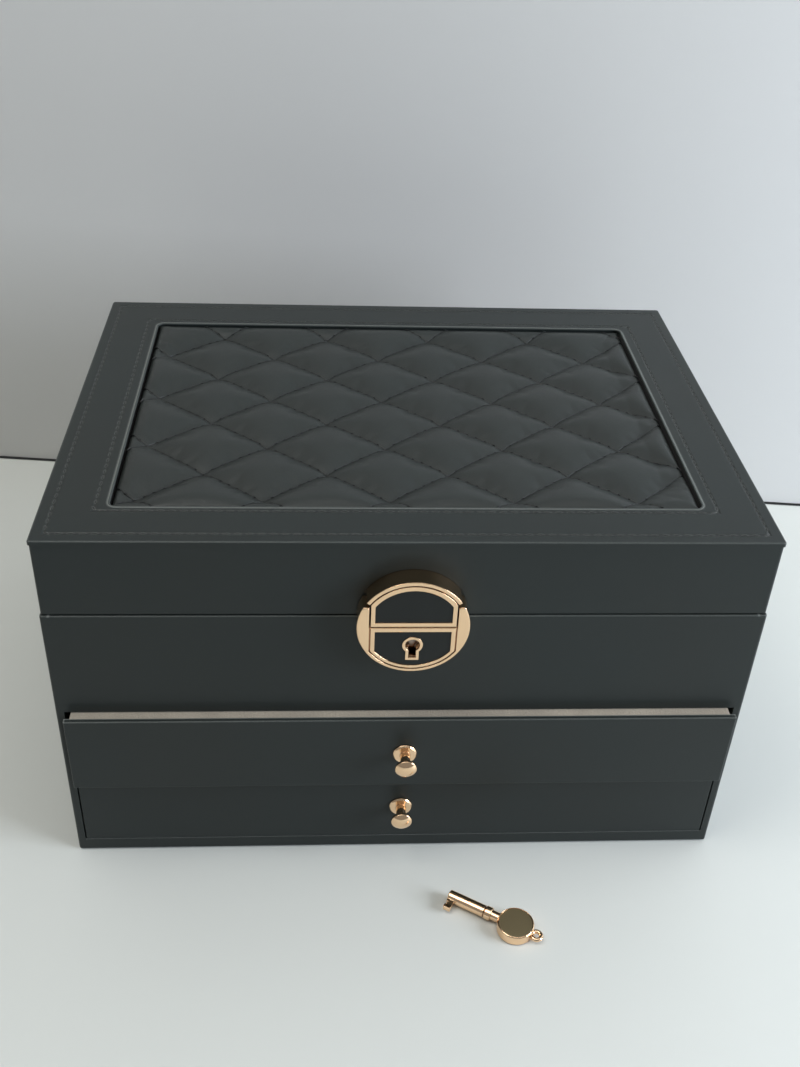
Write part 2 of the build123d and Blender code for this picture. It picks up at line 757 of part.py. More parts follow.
def lock_pieces():
    """Every piece of the lock on the case, on the lid and between them."""
    lower_seat = d_outline(
        inlay_half_width - inlay_clearance, lower_inlay_radius - inlay_clearance,
        split_low - lower_bar - inlay_clearance, False)
    upper_seat = d_outline(
        inlay_half_width - inlay_clearance, upper_inlay_radius - inlay_clearance,
        split_high + upper_bar + inlay_clearance, True)
    stub_hole = Pos(0, -keyhole_drop) * Circle(rotor_stub_radius + rotor_stub_clearance)
    ring = keyhole_outline(keyhole_band) - keyhole_outline(0)
    return {
        "lock_body": lock_body(),
        "lock_lower_inlay": lock_plate(
            lower_seat - keyhole_outline(keyhole_band + inlay_clearance),
            inlay_floor, inlay_floor + inlay_thickness),
        "keyhole_ring": lock_plate(ring, inlay_floor, lock_depth),
        "lock_back_plate": lock_plate(back_plate_outline() - stub_hole, 0, back_plate_thickness),
        "lock_body_screws": lock_screws(0),
        "lock_rotor": rotor(),
        "lock_bolt": bolt(),
        "lock_upper_plate": upper_plate(),
        "lock_upper_inlay": lock_plate(upper_seat, inlay_floor, inlay_floor + inlay_thickness),
        "lock_hook": hook(),
        "lock_plate_screws": plate_screws(0),
    }


# Hinges

hinge_y = back + hinge_barrel_gap + hinge_barrel_radius


def knuckle(x, z_shift):
    """A stretch of the hinge's barrel over a span of X, bored for the pin."""
    length = x[1] - x[0]
    tube = Cylinder(hinge_barrel_radius, length) - Cylinder(hinge_pin_radius + hinge_pin_clearance, length)
    return Pos((x[0] + x[1]) / 2, hinge_y, seam + z_shift) * Rot(0, 90, 0) * tube


def hinge_leaf(x, on_lid):
    """A surface leaf wrapped round its knuckles: two outer ones on the case, the middle one on the lid."""
    half = hinge_leaf_width / 2
    middle = hinge_leaf_width * hinge_middle_share / 2
    if on_lid:
        spans = [(x - middle, x + middle)]
        leaf_y = (lid_back, lid_back + hinge_leaf_thickness)
        rise = 1
    else:
        spans = [(x - half, x - middle - hinge_knuckle_gap), (x + middle + hinge_knuckle_gap, x + half)]
        leaf_y = (back, back + hinge_leaf_thickness)
        rise = -1
    inner_z = hinge_barrel_radius - hinge_leaf_thickness
    outer_z = hinge_leaf_height + hinge_barrel_radius
    web_span = sorted((seam + rise * inner_z, seam + rise * hinge_barrel_radius))
    clear_of_barrel = hinge_barrel_radius + hinge_knuckle_gap
    plate_span = sorted((seam + rise * clear_of_barrel, seam + rise * outer_z))
    leaf = block((x - half, x + half), leaf_y, plate_span)
    for span in spans:
        leaf += block(span, (leaf_y[0], hinge_y), web_span)
        leaf += block(span, leaf_y, sorted((seam + rise * inner_z, seam + rise * clear_of_barrel)))
        leaf -= block(span, (leaf_y[1], hinge_y), sorted((seam, web_span[0] if rise > 0 else web_span[1])))
        bore = Pos((span[0] + span[1]) / 2, hinge_y, seam) * Rot(0, 90, 0) * Cylinder(
            hinge_pin_radius + hinge_pin_clearance, span[1] - span[0])
        leaf = leaf - bore + knuckle(span, 0)
    return leaf - hinge_screw_holes(x, on_lid)


def hinge_screw(x, on_lid, clearance):
    """One small leaf screw; its head is proud of the leaf and its shank is in the board."""
    leaf_back = lid_back if on_lid else back
    rise = 1 if on_lid else -1
    z = seam + rise * (hinge_barrel_radius + hinge_leaf_height * (1 + hinge_screw_share) / 2)
    outwards = Plane((x, leaf_back + hinge_leaf_thickness, z), x_dir=(-1, 0, 0), z_dir=(0, 1, 0))
    shank = extrude(
        Circle(hinge_screw_radius + clearance), amount=-hinge_leaf_thickness - hinge_screw_depth - clearance)
    head = extrude(Circle(hinge_screw_head_radius), amount=hinge_screw_head_height)
    return outwards * (shank if clearance else shank + head)


def hinge_screw_places(x):
    """The two screws of a leaf, either side of its middle."""
    return [x - hinge_leaf_width * hinge_screw_share, x + hinge_leaf_width * hinge_screw_share]


def hinge_screw_holes(x, on_lid):
    """The holes for a leaf's two screws."""
    left, right = [hinge_screw(place, on_lid, screw_clearance) for place in hinge_screw_places(x)]
    return left + right


def hinge_pin(x):
    """A hinge pin with a flat head at each end of the barrel."""
    length = hinge_leaf_width + 2 * hinge_pin_head
    pin = Cylinder(hinge_pin_radius, length)
    for end in (-1, 1):
        pin += Pos(0, 0, end * (length - hinge_pin_head) / 2) * Cylinder(
            (hinge_barrel_radius + hinge_pin_radius) / 2, hinge_pin_head)
    return Pos(x, hinge_y, seam) * Rot(0, 90, 0) * pin


def hinges():
    """The two hinges: leaves, pins and screws."""
    places = (-hinge_x, hinge_x)
    screws = [place for x in places for place in hinge_screw_places(x)]
    pieces = {}
    for name, x in (("left", -hinge_x), ("right", hinge_x)):
        pieces[name + "_hinge_case_leaf"] = hinge_leaf(x, False)
        pieces[name + "_hinge_lid_leaf"] = hinge_leaf(x, True)
    pieces["hinge_pins"] = Compound(children=[hinge_pin(x) for x in places])
    pieces["hinge_case_screws"] = Compound(children=[hinge_screw(x, False, 0) for x in screws])
    pieces["hinge_lid_screws"] = Compound(children=[hinge_screw(x, True, 0) for x in screws])
    return pieces


# Key

def key_stem():
    """The key's turned stem with its bit, bow and loop; the tip points along +X from the bow's centre."""
    collar_end = key_collar_start + key_collar_length
    groove_end = collar_end + key_groove_width
    end = key_length_from_bow
    profile = make_face(Polyline(
        (key_neck_start, 0), (key_neck_start, key_neck_radius), (key_collar_start, key_neck_radius),
        (key_collar_start, key_collar_radius), (collar_end, key_collar_radius),
        (collar_end, key_neck_radius), (groove_end, key_neck_radius),
        (groove_end, key_shaft_radius), (end - key_tip_chamfer, key_shaft_radius),
        (end, key_shaft_radius - key_tip_chamfer), (end, 0), close=True))
    stem = Pos(0, 0, key_collar_radius) * revolve(Plane.XY * profile, Axis.X)
    bow = Pos(0, 0, key_bow_thickness / 2) * Cylinder(key_bow_radius, key_bow_thickness)
    bow = fillet(bow.edges(), key_bow_round)
    loop = Pos(-key_loop_distance, 0, key_bow_thickness / 2) * Torus(key_loop_radius, key_loop_thickness / 2)
    bit_end = end - key_bit_setback
    bit_low = key_collar_radius - key_bit_thickness / 2
    bit_reach = key_shaft_radius + key_bit_reach
    bit = block((bit_end - key_bit_width, bit_end), (0, bit_reach), (bit_low, bit_low + key_bit_thickness))
    notch_y = key_shaft_radius + key_bit_notch_width
    bit -= block(
        (bit_end - key_bit_notch_depth, bit_end + cut_overrun),
        (notch_y, notch_y + key_bit_notch_width),
        (bit_low - cut_overrun, bit_low + key_bit_thickness + cut_overrun))
    face_seat = Pos(0, 0, key_bow_thickness) * extrude(
        Circle(key_face_radius), amount=-key_face_sink - key_face_thickness)
    return stem + bow + loop + bit - face_seat


def key():
    """The key, laid on the table in front of the case."""
    place = Pos(key_x, front - key_gap_to_case, 0) * Rot(0, 0, key_turn)
    face_z = key_bow_thickness - key_face_sink - key_face_thickness
    face = Pos(0, 0, face_z + key_face_thickness / 2) * Cylinder(
        key_face_radius - inlay_clearance, key_face_thickness)
    return {"key": place * key_stem(), "key_face": place * face}


pieces = {}
for group in (case_boards, tray_walls, tray_fittings, lid_boards, drawers, lock_pieces, hinges, key):
    pieces.update(group())
pieces["quilted_pad"] = quilted_pad()

os.makedirs("parts", exist_ok=True)
for node, piece in pieces.items():
    export_step(piece, f"parts/{node}.step")
print(len(pieces), "nodes")
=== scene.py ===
"""Dresses the jewelry storage box: wrapped boards, quilted pad, stitching, velvet, metalwork and stage."""

import json
import math

import bmesh
import bpy
import numpy as np
from bpy.props import FloatProperty, FloatVectorProperty, IntProperty, PointerProperty
from mathutils import Matrix, Vector


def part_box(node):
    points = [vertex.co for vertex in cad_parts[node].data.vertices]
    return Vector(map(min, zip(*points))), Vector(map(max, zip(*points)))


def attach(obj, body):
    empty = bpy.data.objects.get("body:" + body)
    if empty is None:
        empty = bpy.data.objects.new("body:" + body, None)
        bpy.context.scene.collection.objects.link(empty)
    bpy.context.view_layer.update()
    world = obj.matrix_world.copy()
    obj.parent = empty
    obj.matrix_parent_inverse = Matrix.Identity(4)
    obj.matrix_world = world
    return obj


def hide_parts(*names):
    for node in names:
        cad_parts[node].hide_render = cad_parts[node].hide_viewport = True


bl_info = {
    "name": "Jewelry storage box",
    "version": (1, 0, 0),
    "blender": (4, 5, 0),
    "location": "View3D > Sidebar > Jewelry box",
    "description": "Builds the looks of a jewelry storage box round its fixed frame",
    "category": "Object",
}

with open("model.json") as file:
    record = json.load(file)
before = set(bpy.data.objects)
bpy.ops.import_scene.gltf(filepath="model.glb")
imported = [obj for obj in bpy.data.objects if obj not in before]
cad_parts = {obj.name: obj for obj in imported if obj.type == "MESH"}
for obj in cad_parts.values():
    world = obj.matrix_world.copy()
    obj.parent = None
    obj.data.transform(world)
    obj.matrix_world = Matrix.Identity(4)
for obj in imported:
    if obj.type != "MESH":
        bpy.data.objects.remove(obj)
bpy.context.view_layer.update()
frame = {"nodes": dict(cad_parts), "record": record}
NODES = frame["nodes"]
MM = 0.001

# Places read from the frame
FRAME_LOW, FRAME_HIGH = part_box("lid_top_frame")
PAD_LOW, PAD_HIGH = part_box("quilted_pad")
LID_TOP = FRAME_HIGH.z

# The window in the lid: gap round the CAD pad and radius of its corners
WINDOW_CLEARANCE = 0.3 * MM
WINDOW_CORNER = 3.0 * MM

# How near a seam a point lies on it, as a share of a diamond's side
ON_SEAM = 0.01

# The cover: fullness before it is filled, height of its rim over the pad's foot, furthest that the
# filling may lift it, how much of the edge gap it keeps, and a hair's gap for the thread and the back
START_FULLNESS = 0.55
RIM_HEIGHT = 0.6 * MM
FILLING_LIMIT = 0.9 * MM
KEPT_GAP = 0.4
HAIR = 0.02 * MM

# The cover's stiffness in the simulation, as soft leather over foam
COVER_CLOTH = {
    "bending_stiffness": 0.05, "tension_stiffness": 15, "compression_stiffness": 15,
    "shear_stiffness": 5, "quality": 6}

# Matt lacquer on the leather mirrors less than bare plastic
LEATHER_MIRROR, QUILT_MIRROR = 0.26, 0.36
SEAM_SHADOW = "#050606"
# Painted highlight on upward-facing board edges: its colour, and the roughness of those edges
EDGE_HIGHLIGHT = "#8b8f8b"
STRETCHED_ROUGHNESS = 0.28

# Painted shade: shares of a metal's red, green and blue that are left in its recesses
RECESS_SHADE = (0.3, 0.15, 0.08)

VELVET_LINING = "flocked_velvet_lining"
NAP_SHADE = 0.72


def linear(code):
    """An sRGB hex colour as linear red, green, blue and alpha."""
    parts = [int(code[i:i + 2], 16) / 255 for i in (1, 3, 5)]
    return [p / 12.92 if p <= 0.04045 else ((p + 0.055) / 1.055) ** 2.4 for p in parts] + [1.0]


def length_prop(name, description, millimetres):
    """A length that a user may change, given here in millimetres."""
    return FloatProperty(
        name=name, description=description, default=millimetres * MM, subtype="DISTANCE", unit="LENGTH")


def colour_prop(name, description, code):
    """A colour that a user may change, given here as a hex code."""
    return FloatVectorProperty(
        name=name, description=description, default=linear(code), size=4, subtype="COLOR", min=0, max=1)


def share_prop(name, description, value):
    """A number without a unit that a user may change."""
    return FloatProperty(name=name, description=description, default=value)


class QuiltSettings(bpy.types.PropertyGroup):
    """The quilted pad in the lid."""
    diamond_width: length_prop("Diamond width", "Distance between seam crossings along X", 45.7)
    diamond_length: length_prop("Diamond length", "Distance between seam crossings along Y", 38.1)
    crossing_x: length_prop("Crossing X", "Place of one seam crossing along X", -7.0)
    crossing_y: length_prop("Crossing Y", "Place of one seam crossing along Y", 8.1)
    seam_depth: length_prop("Seam depth", "How far the seams lie below the lid's top", 3.2)
    crossing_depth: length_prop("Crossing depth", "How much deeper the crossings lie", 0.5)
    crown: length_prop("Crown", "Height of the pillows over their seams", 3.3)
    rim_reach: length_prop("Rim reach", "How far inside the window the seams reach their full depth", 10.0)
    rim_share: share_prop("Rim share", "Share of the seam depth at the window's edge", 0.2)
    edge_gap: length_prop("Edge gap", "Gap between the pad and the window", 0.25)
    edge_roll: length_prop("Edge roll", "Radius by which the pad's rim rolls down", 1.3)
    stitch_pitch: length_prop("Stitch pitch", "Distance between stitch holes on the seams", 4.4)
    slack: share_prop("Slack", "How much wider the cover is cut than its bed", 0.016)
    pressure: share_prop("Pressure", "Pressure of the foam under the cover", 600.0)
    cells: IntProperty(
        name="Cells", description="Mesh cells along a diamond's side", default=20, min=8, max=40)
    frames: IntProperty(name="Frames", description="Length of the simulation", default=22, min=5, max=60)


class StitchSettings(bpy.types.PropertyGroup):
    """The stitching on the lid."""
    pitch: length_prop("Pitch", "Distance between stitches on the frame", 4.0)
    length: length_prop("Length", "Length of one stitch on the frame", 2.7)
    radius: length_prop("Thread radius", "Half the thread's thickness", 0.28)
    seam_length: length_prop("Seam stitch", "Length of one stitch on the quilt's seams", 2.9)
    outer_inset: length_prop("Outer inset", "Outer stitch line, from the lid's edges", 4.8)
    window_inset: length_prop("Window inset", "Inner stitch line, outside the window's sides", 4.5)
    window_front: length_prop("Window front", "Inner stitch line, before the window", 2.6)
    window_back: length_prop("Window back", "Inner stitch line, behind the window", 3.6)


class FinishSettings(bpy.types.PropertyGroup):
    """The colours of the finishes."""
    leather: colour_prop("Leather", "Smooth leather on the boards", "#252c2c")
    leather_warm: colour_prop("Warm leather", "Warmer patches of the leather", "#292c2a")
    quilt: colour_prop("Quilt", "Soft leather of the pad", "#272d2c")
    thread: colour_prop("Thread", "Stitching thread", "#0e1010")
    velvet: colour_prop("Velvet", "Lining of the tray and drawers", "#bfb4a2")
    gold: colour_prop("Gold", "Plating of the lock, knobs and key", "#f8d4ad")
    bronze: colour_prop("Bronze", "Face of the key's bow", "#b9a985")
    inlay: colour_prop("Inlay", "Inlays of the lock", "#1b1e1d")
    steel: colour_prop("Steel", "Screws and inner parts of the lock", "#bdbcb8")
    felt: colour_prop("Felt", "Lining under the base", "#1c1c1c")
    paper: colour_prop("Paper", "Paper on the hidden boards", "#2b2b2b")
    floor: colour_prop("Floor", "Floor under the box", "#dcdfda")
    wall: colour_prop("Wall", "Wall behind the box", "#d6d6d4")


def node(tree, kind, inputs=(), **settings):
    """Adds a node, sets its settings, and gives its inputs values or links from other outputs."""
    made = tree.nodes.new(kind)
    for name, value in settings.items():
        setattr(made, name, value)
    for name, value in dict(inputs).items():
        if isinstance(value, bpy.types.NodeSocket):
            tree.links.new(value, made.inputs[name])
        else:
            made.inputs[name].default_value = value
    return made


def new_material(name):
    """An empty material with its shader; returns the material, tree, shader and Object coordinates."""
    material = bpy.data.materials.new(name)
    material.use_nodes = True
    tree = material.node_tree
    shader = tree.nodes["Principled BSDF"]
    place = node(tree, "ShaderNodeTexCoord").outputs["Object"]
    return material, tree, shader, place


def connect(tree, shader, **links):
    """Links outputs into the shader's sockets, named with underscores."""
    for name, output in links.items():
        tree.links.new(output, shader.inputs[name.replace("_", " ")])


def rectangle_groove(tree, place, centre, half, width):
    """A mask that is 1 along the outline of a rectangle in X and Y, and 0 beyond a width from it."""
    from_centre = node(tree, "ShaderNodeVectorMath", {0: place, 1: (*centre, 0)}, operation="SUBTRACT")
    size = node(tree, "ShaderNodeVectorMath", {0: from_centre.outputs[0]}, operation="ABSOLUTE")
    spans = node(tree, "ShaderNodeVectorMath", {0: size.outputs[0], 1: (*half, 0)}, operation="SUBTRACT")
    axes = node(tree, "ShaderNodeSeparateXYZ", {"Vector": spans.outputs[0]}).outputs
    outside = node(tree, "ShaderNodeMath", {0: axes["X"], 1: axes["Y"]}, operation="MAXIMUM")
    distance = node(tree, "ShaderNodeMath", {0: outside.outputs[0]}, operation="ABSOLUTE")
    return node(
        tree, "ShaderNodeMapRange",
        {"Value": distance.outputs[0], "From Min": 0.0, "From Max": width, "To Min": 1.0, "To Max": 0.0},
        interpolation_type="SMOOTHSTEP").outputs["Result"]


def diamond_side(quilt):
    """The length of a diamond's side and how many stitches it takes."""
    side = math.hypot(quilt.diamond_width, quilt.diamond_length) / 2
    return side, round(side / quilt.stitch_pitch)


def seam_masks(tree, place, quilt):
    """Masks that are 1 in the quilt's seams and in their stitch holes, worked out from X and Y."""
    side, stitches = diamond_side(quilt)
    spacing = quilt.diamond_width * quilt.diamond_length / 2 / side
    pitch = side / stitches
    counts = []
    for sign in (-1, 1):
        rise = (1 / quilt.diamond_width, sign / quilt.diamond_length, 0)
        offset = -quilt.crossing_x * rise[0] - quilt.crossing_y * rise[1]
        along = node(
            tree, "ShaderNodeVectorMath", {0: place, 1: rise}, operation="DOT_PRODUCT").outputs["Value"]
        counts.append(node(tree, "ShaderNodeMath", {0: along, 1: offset}, operation="ADD").outputs[0])
    masks = []
    for across, along in (counts, counts[::-1]):
        step = node(tree, "ShaderNodeMath", {0: across, 1: 0.5}, operation="PINGPONG").outputs[0]
        distance = node(tree, "ShaderNodeMath", {0: step, 1: spacing}, operation="MULTIPLY").outputs[0]
        run = node(tree, "ShaderNodeMath", {0: along, 1: side}, operation="MULTIPLY").outputs[0]
        nearest = node(tree, "ShaderNodeMath", {0: run, 1: pitch / 2}, operation="PINGPONG").outputs[0]
        reach = node(
            tree, "ShaderNodeVectorMath",
            {0: node(tree, "ShaderNodeCombineXYZ", {0: distance, 1: nearest}).outputs[0]},
            operation="LENGTH").outputs["Value"]
        for span, full_mm in ((distance, 0.1), (reach, 0.2)):
            masks.append(node(
                tree, "ShaderNodeMapRange",
                {"Value": span, "From Min": full_mm * MM, "From Max": 0.6 * MM, "To Min": 1.0,
                 "To Max": 0.0}, interpolation_type="SMOOTHSTEP").outputs["Result"])
    # Each direction gave one mask for its seams and one for its holes
    return [
        node(tree, "ShaderNodeMath", {0: masks[i], 1: masks[i + 2]}, operation="MAXIMUM").outputs[0]
        for i in (0, 1)]


def satin_leather(
        name, colour, warm, roughness, grain_mm, grain_height, wave_height, grooves=(), quilt=None,
        painted_edge_highlight=True):
    """Embossed polyurethane leather: a near-black satin skin that mirrors the room softly.

    The real grain is about 0.3 mm wide; it is drawn coarser here so that it shows.
    """
    material, tree, shader, place = new_material(name)
    patches = node(
        tree, "ShaderNodeTexNoise", {"Vector": place, "Scale": 1 / (60 * MM), "Detail": 3.0}).outputs["Fac"]
    tint = node(tree, "ShaderNodeMixRGB", {"Fac": patches, "Color1": colour, "Color2": warm})
    grain = node(
        tree, "ShaderNodeTexVoronoi",
        {"Vector": place, "Scale": 1 / (grain_mm * MM), "Randomness": 1.0}).outputs["Distance"]
    fine = node(
        tree, "ShaderNodeTexNoise",
        {"Vector": place, "Scale": 1 / (2.2 * grain_mm * MM), "Detail": 4.0}).outputs["Fac"]
    wave = node(
        tree, "ShaderNodeTexNoise", {"Vector": place, "Scale": 1 / (45 * MM), "Detail": 1.0}).outputs["Fac"]
    skin = node(tree, "ShaderNodeMath", {0: grain, 1: fine}, operation="MULTIPLY")
    normal = node(tree, "ShaderNodeBump", {"Height": skin.outputs[0], "Distance": grain_height * MM})
    normal = node(
        tree, "ShaderNodeBump",
        {"Height": wave, "Distance": wave_height * MM, "Normal": normal.outputs["Normal"]})
    for mask in (rectangle_groove(tree, place, *groove) for groove in grooves):
        normal = node(
            tree, "ShaderNodeBump",
            {"Height": mask, "Distance": 0.35 * MM, "Normal": normal.outputs["Normal"]}, invert=True)
    if quilt is not None:
        line, hole = seam_masks(tree, place, quilt)
        for mask, depth, dark in ((line, 0.3, 0.45), (hole, 0.5, 0.8)):
            normal = node(
                tree, "ShaderNodeBump",
                {"Height": mask, "Distance": depth * MM, "Normal": normal.outputs["Normal"]}, invert=True)
            shade = node(tree, "ShaderNodeMath", {0: mask, 1: dark}, operation="MULTIPLY").outputs[0]
            tint = node(
                tree, "ShaderNodeMixRGB",
                {"Fac": shade, "Color1": tint.outputs["Color"], "Color2": linear(SEAM_SHADOW)})
    gloss = node(
        tree, "ShaderNodeMapRange",
        {"Value": fine, "To Min": roughness - 0.05, "To Max": roughness + 0.05}).outputs["Result"]
    if painted_edge_highlight:
        # Painted highlight: board edges that face upward are painted paler, as where light from above catches
        # them, and are made smoother
        near_edge = node(
            tree, "ShaderNodeAmbientOcclusion", {"Distance": 0.7 * MM}, samples=4, inside=True).outputs["AO"]
        edge = node(
            tree, "ShaderNodeMapRange",
            {"Value": near_edge, "From Min": 0.93, "From Max": 0.6}).outputs["Result"]
        facing = node(tree, "ShaderNodeNewGeometry").outputs["Normal"]
        rise = node(tree, "ShaderNodeSeparateXYZ", {"Vector": facing}).outputs["Z"]
        upward = node(
            tree, "ShaderNodeMapRange", {"Value": rise, "From Min": 0.15, "From Max": 0.6}).outputs["Result"]
        edge = node(tree, "ShaderNodeMath", {0: edge, 1: upward}, operation="MULTIPLY").outputs[0]
        share = node(tree, "ShaderNodeMath", {0: edge, 1: 0.8}, operation="MULTIPLY").outputs[0]
        tint = node(
            tree, "ShaderNodeMixRGB",
            {"Fac": share, "Color1": tint.outputs["Color"], "Color2": linear(EDGE_HIGHLIGHT)})
        gloss = node(
            tree, "ShaderNodeMixRGB",
            {"Fac": edge, "Color1": gloss, "Color2": (*[STRETCHED_ROUGHNESS] * 3, 1.0)}).outputs["Color"]
    shader.inputs["Specular IOR Level"].default_value = LEATHER_MIRROR if quilt is None else QUILT_MIRROR
    connect(
        tree, shader, Base_Color=tint.outputs["Color"], Roughness=gloss, Normal=normal.outputs["Normal"])
    return material


def velvet(name, colour, shade):
    """Short-pile flocked velvet: matt, with a pale sheen and patches where the nap lies another way."""
    material, tree, shader, place = new_material(name)
    nap = node(
        tree, "ShaderNodeTexNoise", {"Vector": place, "Scale": 1 / (14 * MM), "Detail": 5.0}).outputs["Fac"]
    pile = node(
        tree, "ShaderNodeTexNoise", {"Vector": place, "Scale": 1 / (0.8 * MM), "Detail": 2.0}).outputs["Fac"]
    lay = node(
        tree, "ShaderNodeMapRange", {"Value": nap, "From Min": 0.35, "From Max": 0.65}).outputs["Result"]
    dark = [c * shade for c in colour[:3]] + [1.0]
    tint = node(tree, "ShaderNodeMixRGB", {"Fac": lay, "Color1": dark, "Color2": list(colour)})
    speck = node(
        tree, "ShaderNodeMixRGB", {"Fac": pile, "Color1": tint.outputs["Color"], "Color2": dark})
    normal = node(tree, "ShaderNodeBump", {"Height": pile, "Distance": 0.25 * MM})
    shader.inputs["Roughness"].default_value = 0.92
    shader.inputs["Sheen Weight"].default_value = 0.35
    shader.inputs["Sheen Roughness"].default_value = 0.45
    connect(tree, shader, Base_Color=speck.outputs["Color"], Normal=normal.outputs["Normal"])
    return material


def metal(name, colour, roughness, spread, dimple_height, depth=0.9, streak=False):
    """A metal surface: its colour is its mirror tint, and its narrow recesses are painted darker as shade.

    Its clouds are 0.9 mm wide, drawn coarser than polishing marks so that they show.
    """
    material, tree, shader, place = new_material(name)
    scale = 1 / (0.9 * MM)
    spot = place
    if streak:
        # Brushing stretches the pattern along X
        spot = node(
            tree, "ShaderNodeMapping", {"Vector": place, "Scale": (1.0, 12.0, 12.0)}).outputs["Vector"]
    cloud = node(tree, "ShaderNodeTexNoise", {"Vector": spot, "Scale": scale, "Detail": 3.0}).outputs["Fac"]
    gloss = node(
        tree, "ShaderNodeMapRange",
        {"Value": cloud, "To Min": roughness - spread, "To Max": roughness + spread}).outputs["Result"]
    edge = node(tree, "ShaderNodeBevel", {"Radius": 0.45 * MM}, samples=6).outputs["Normal"]
    normal = node(
        tree, "ShaderNodeBump", {"Height": cloud, "Distance": dimple_height * MM, "Normal": edge})
    # Painted shade: where ambient occlusion finds a recess, the colour is darkened towards these shares
    hollow = node(tree, "ShaderNodeAmbientOcclusion", {"Distance": depth * MM}, samples=8).outputs["AO"]
    open_share = node(
        tree, "ShaderNodeMapRange", {"Value": hollow, "From Min": 0.35, "From Max": 0.8}).outputs["Result"]
    recess_shade_colour = [c * share for c, share in zip(colour, RECESS_SHADE)] + [1.0]
    tint = node(
        tree, "ShaderNodeMixRGB", {"Fac": open_share, "Color1": recess_shade_colour, "Color2": list(colour)})
    shader.inputs["Metallic"].default_value = 1.0
    connect(
        tree, shader, Base_Color=tint.outputs["Color"], Roughness=gloss, Normal=normal.outputs["Normal"])
    return material


def mottled(name, colour, other, size_mm, detail, roughness, bump_mm=0.0):
    """A material that clouds mottle: its colour, and that colour times a number, in patches of a size."""
    material, tree, shader, place = new_material(name)
    cloud = node(
        tree, "ShaderNodeTexNoise",
        {"Vector": place, "Scale": 1 / (size_mm * MM), "Detail": detail}).outputs["Fac"]
    patch = [min(1.0, c * other) for c in colour[:3]] + [1.0]
    tint = node(tree, "ShaderNodeMixRGB", {"Fac": cloud, "Color1": list(colour), "Color2": patch})
    shader.inputs["Roughness"].default_value = roughness
    connect(tree, shader, Base_Color=tint.outputs["Color"])
    if bump_mm:
        normal = node(tree, "ShaderNodeBump", {"Height": cloud, "Distance": bump_mm * MM})
        connect(tree, shader, Normal=normal.outputs["Normal"])
    return material


def paper(name, colour):
    """Uncoated dark covering paper: matt, with fibres that mottle it."""
    return mottled(name, colour, 1.5, size_mm=1.5, detail=5.0, roughness=0.85, bump_mm=0.08)


def twisted_thread(name, colour):
    """Bonded polyester thread: dark, with a slight shine and the twist of its plies."""
    return mottled(name, colour, 2.2, size_mm=0.4, detail=2.0, roughness=0.45, bump_mm=0.06)


def painted_surface(name, colour, smudge, scale_mm):
    """A matt painted surface with faint, broad smudges."""
    return mottled(name, colour, smudge, size_mm=scale_mm, detail=4.0, roughness=0.6)


def finish_nodes(names, material):
    """Gives CAD nodes a material through their objects' slots."""
    for name in names:
        obj = NODES[name]
        if not obj.material_slots:
            obj.data.materials.append(None)
        for slot in obj.material_slots:
            slot.link = "OBJECT"
            slot.material = material


def nodes_of_slot(*slots):
    """Names of the CAD nodes whose record slot is one of these."""
    return [s["node"] for s in frame["record"]["subparts"] if s["material_slot"] in slots]


def mesh_object(name, mesh, material):
    """A new object with a mesh and its material, at the origin."""
    obj = bpy.data.objects.new(name, mesh)
    bpy.context.scene.collection.objects.link(obj)
    if material is not None:
        mesh.materials.clear()
        mesh.materials.append(material)
    return obj


def made_plain(obj):
    """Turns an object with modifiers into one with the plain mesh they give."""
    bpy.context.view_layer.update()
    evaluated = obj.evaluated_get(bpy.context.evaluated_depsgraph_get())
    mesh = bpy.data.meshes.new_from_object(evaluated)
    obj.modifiers.clear()
    old, obj.data = obj.data, mesh
    bpy.data.meshes.remove(old)
    return obj


def smoothed(obj):
    """Subdivides an object's mesh once and makes it plain."""
    smoothing = obj.modifiers.new("smoothing", "SUBSURF")
    smoothing.levels = smoothing.render_levels = 1
    made_plain(obj)


def shade_smooth(mesh):
    """Smooth shading on every face."""
    mesh.polygons.foreach_set("use_smooth", [True] * len(mesh.polygons))
    mesh.update()


# Stitching

def stitch_tree():
    """The stitches along a line: threads of a set length at a set pitch, half sunk in the leather."""
    tree = bpy.data.node_groups.new("stitches_along_line", "GeometryNodeTree")
    sockets = tree.interface
    sockets.new_socket(name="Line", in_out="INPUT", socket_type="NodeSocketGeometry")
    for name in ("Pitch", "Length", "Radius"):
        sockets.new_socket(name=name, in_out="INPUT", socket_type="NodeSocketFloat")
    sockets.new_socket(name="Thread", in_out="INPUT", socket_type="NodeSocketMaterial")
    sockets.new_socket(name="Stitches", in_out="OUTPUT", socket_type="NodeSocketGeometry")
    given = node(tree, "NodeGroupInput").outputs
    line = node(tree, "GeometryNodeMeshToCurve", {"Mesh": given["Line"]})
    points = node(
        tree, "GeometryNodeResampleCurve", {"Curve": line.outputs[0], "Length": given["Pitch"]},
        mode="LENGTH")
    tangent = node(tree, "GeometryNodeInputTangent")
    turn = node(tree, "FunctionNodeAlignRotationToVector", {"Vector": tangent.outputs[0]}, axis="X")
    half = node(tree, "ShaderNodeMath", {0: given["Length"], 1: 0.5}, operation="MULTIPLY")
    size = node(
        tree, "ShaderNodeCombineXYZ", {0: half.outputs[0], 1: given["Radius"], 2: given["Radius"]})
    bead = node(tree, "GeometryNodeMeshUVSphere", {"Segments": 8, "Rings": 6, "Radius": 1.0})
    smooth = node(tree, "GeometryNodeSetShadeSmooth", {"Geometry": bead.outputs["Mesh"]})
    threads = node(
        tree, "GeometryNodeInstanceOnPoints",
        {"Points": points.outputs[0], "Instance": smooth.outputs[0], "Rotation": turn.outputs[0],
         "Scale": size.outputs[0]})
    real = node(tree, "GeometryNodeRealizeInstances", {"Geometry": threads.outputs[0]})
    dressed = node(
        tree, "GeometryNodeSetMaterial", {"Geometry": real.outputs[0], "Material": given["Thread"]})
    node(tree, "NodeGroupOutput", {"Stitches": dressed.outputs[0]})
    return tree


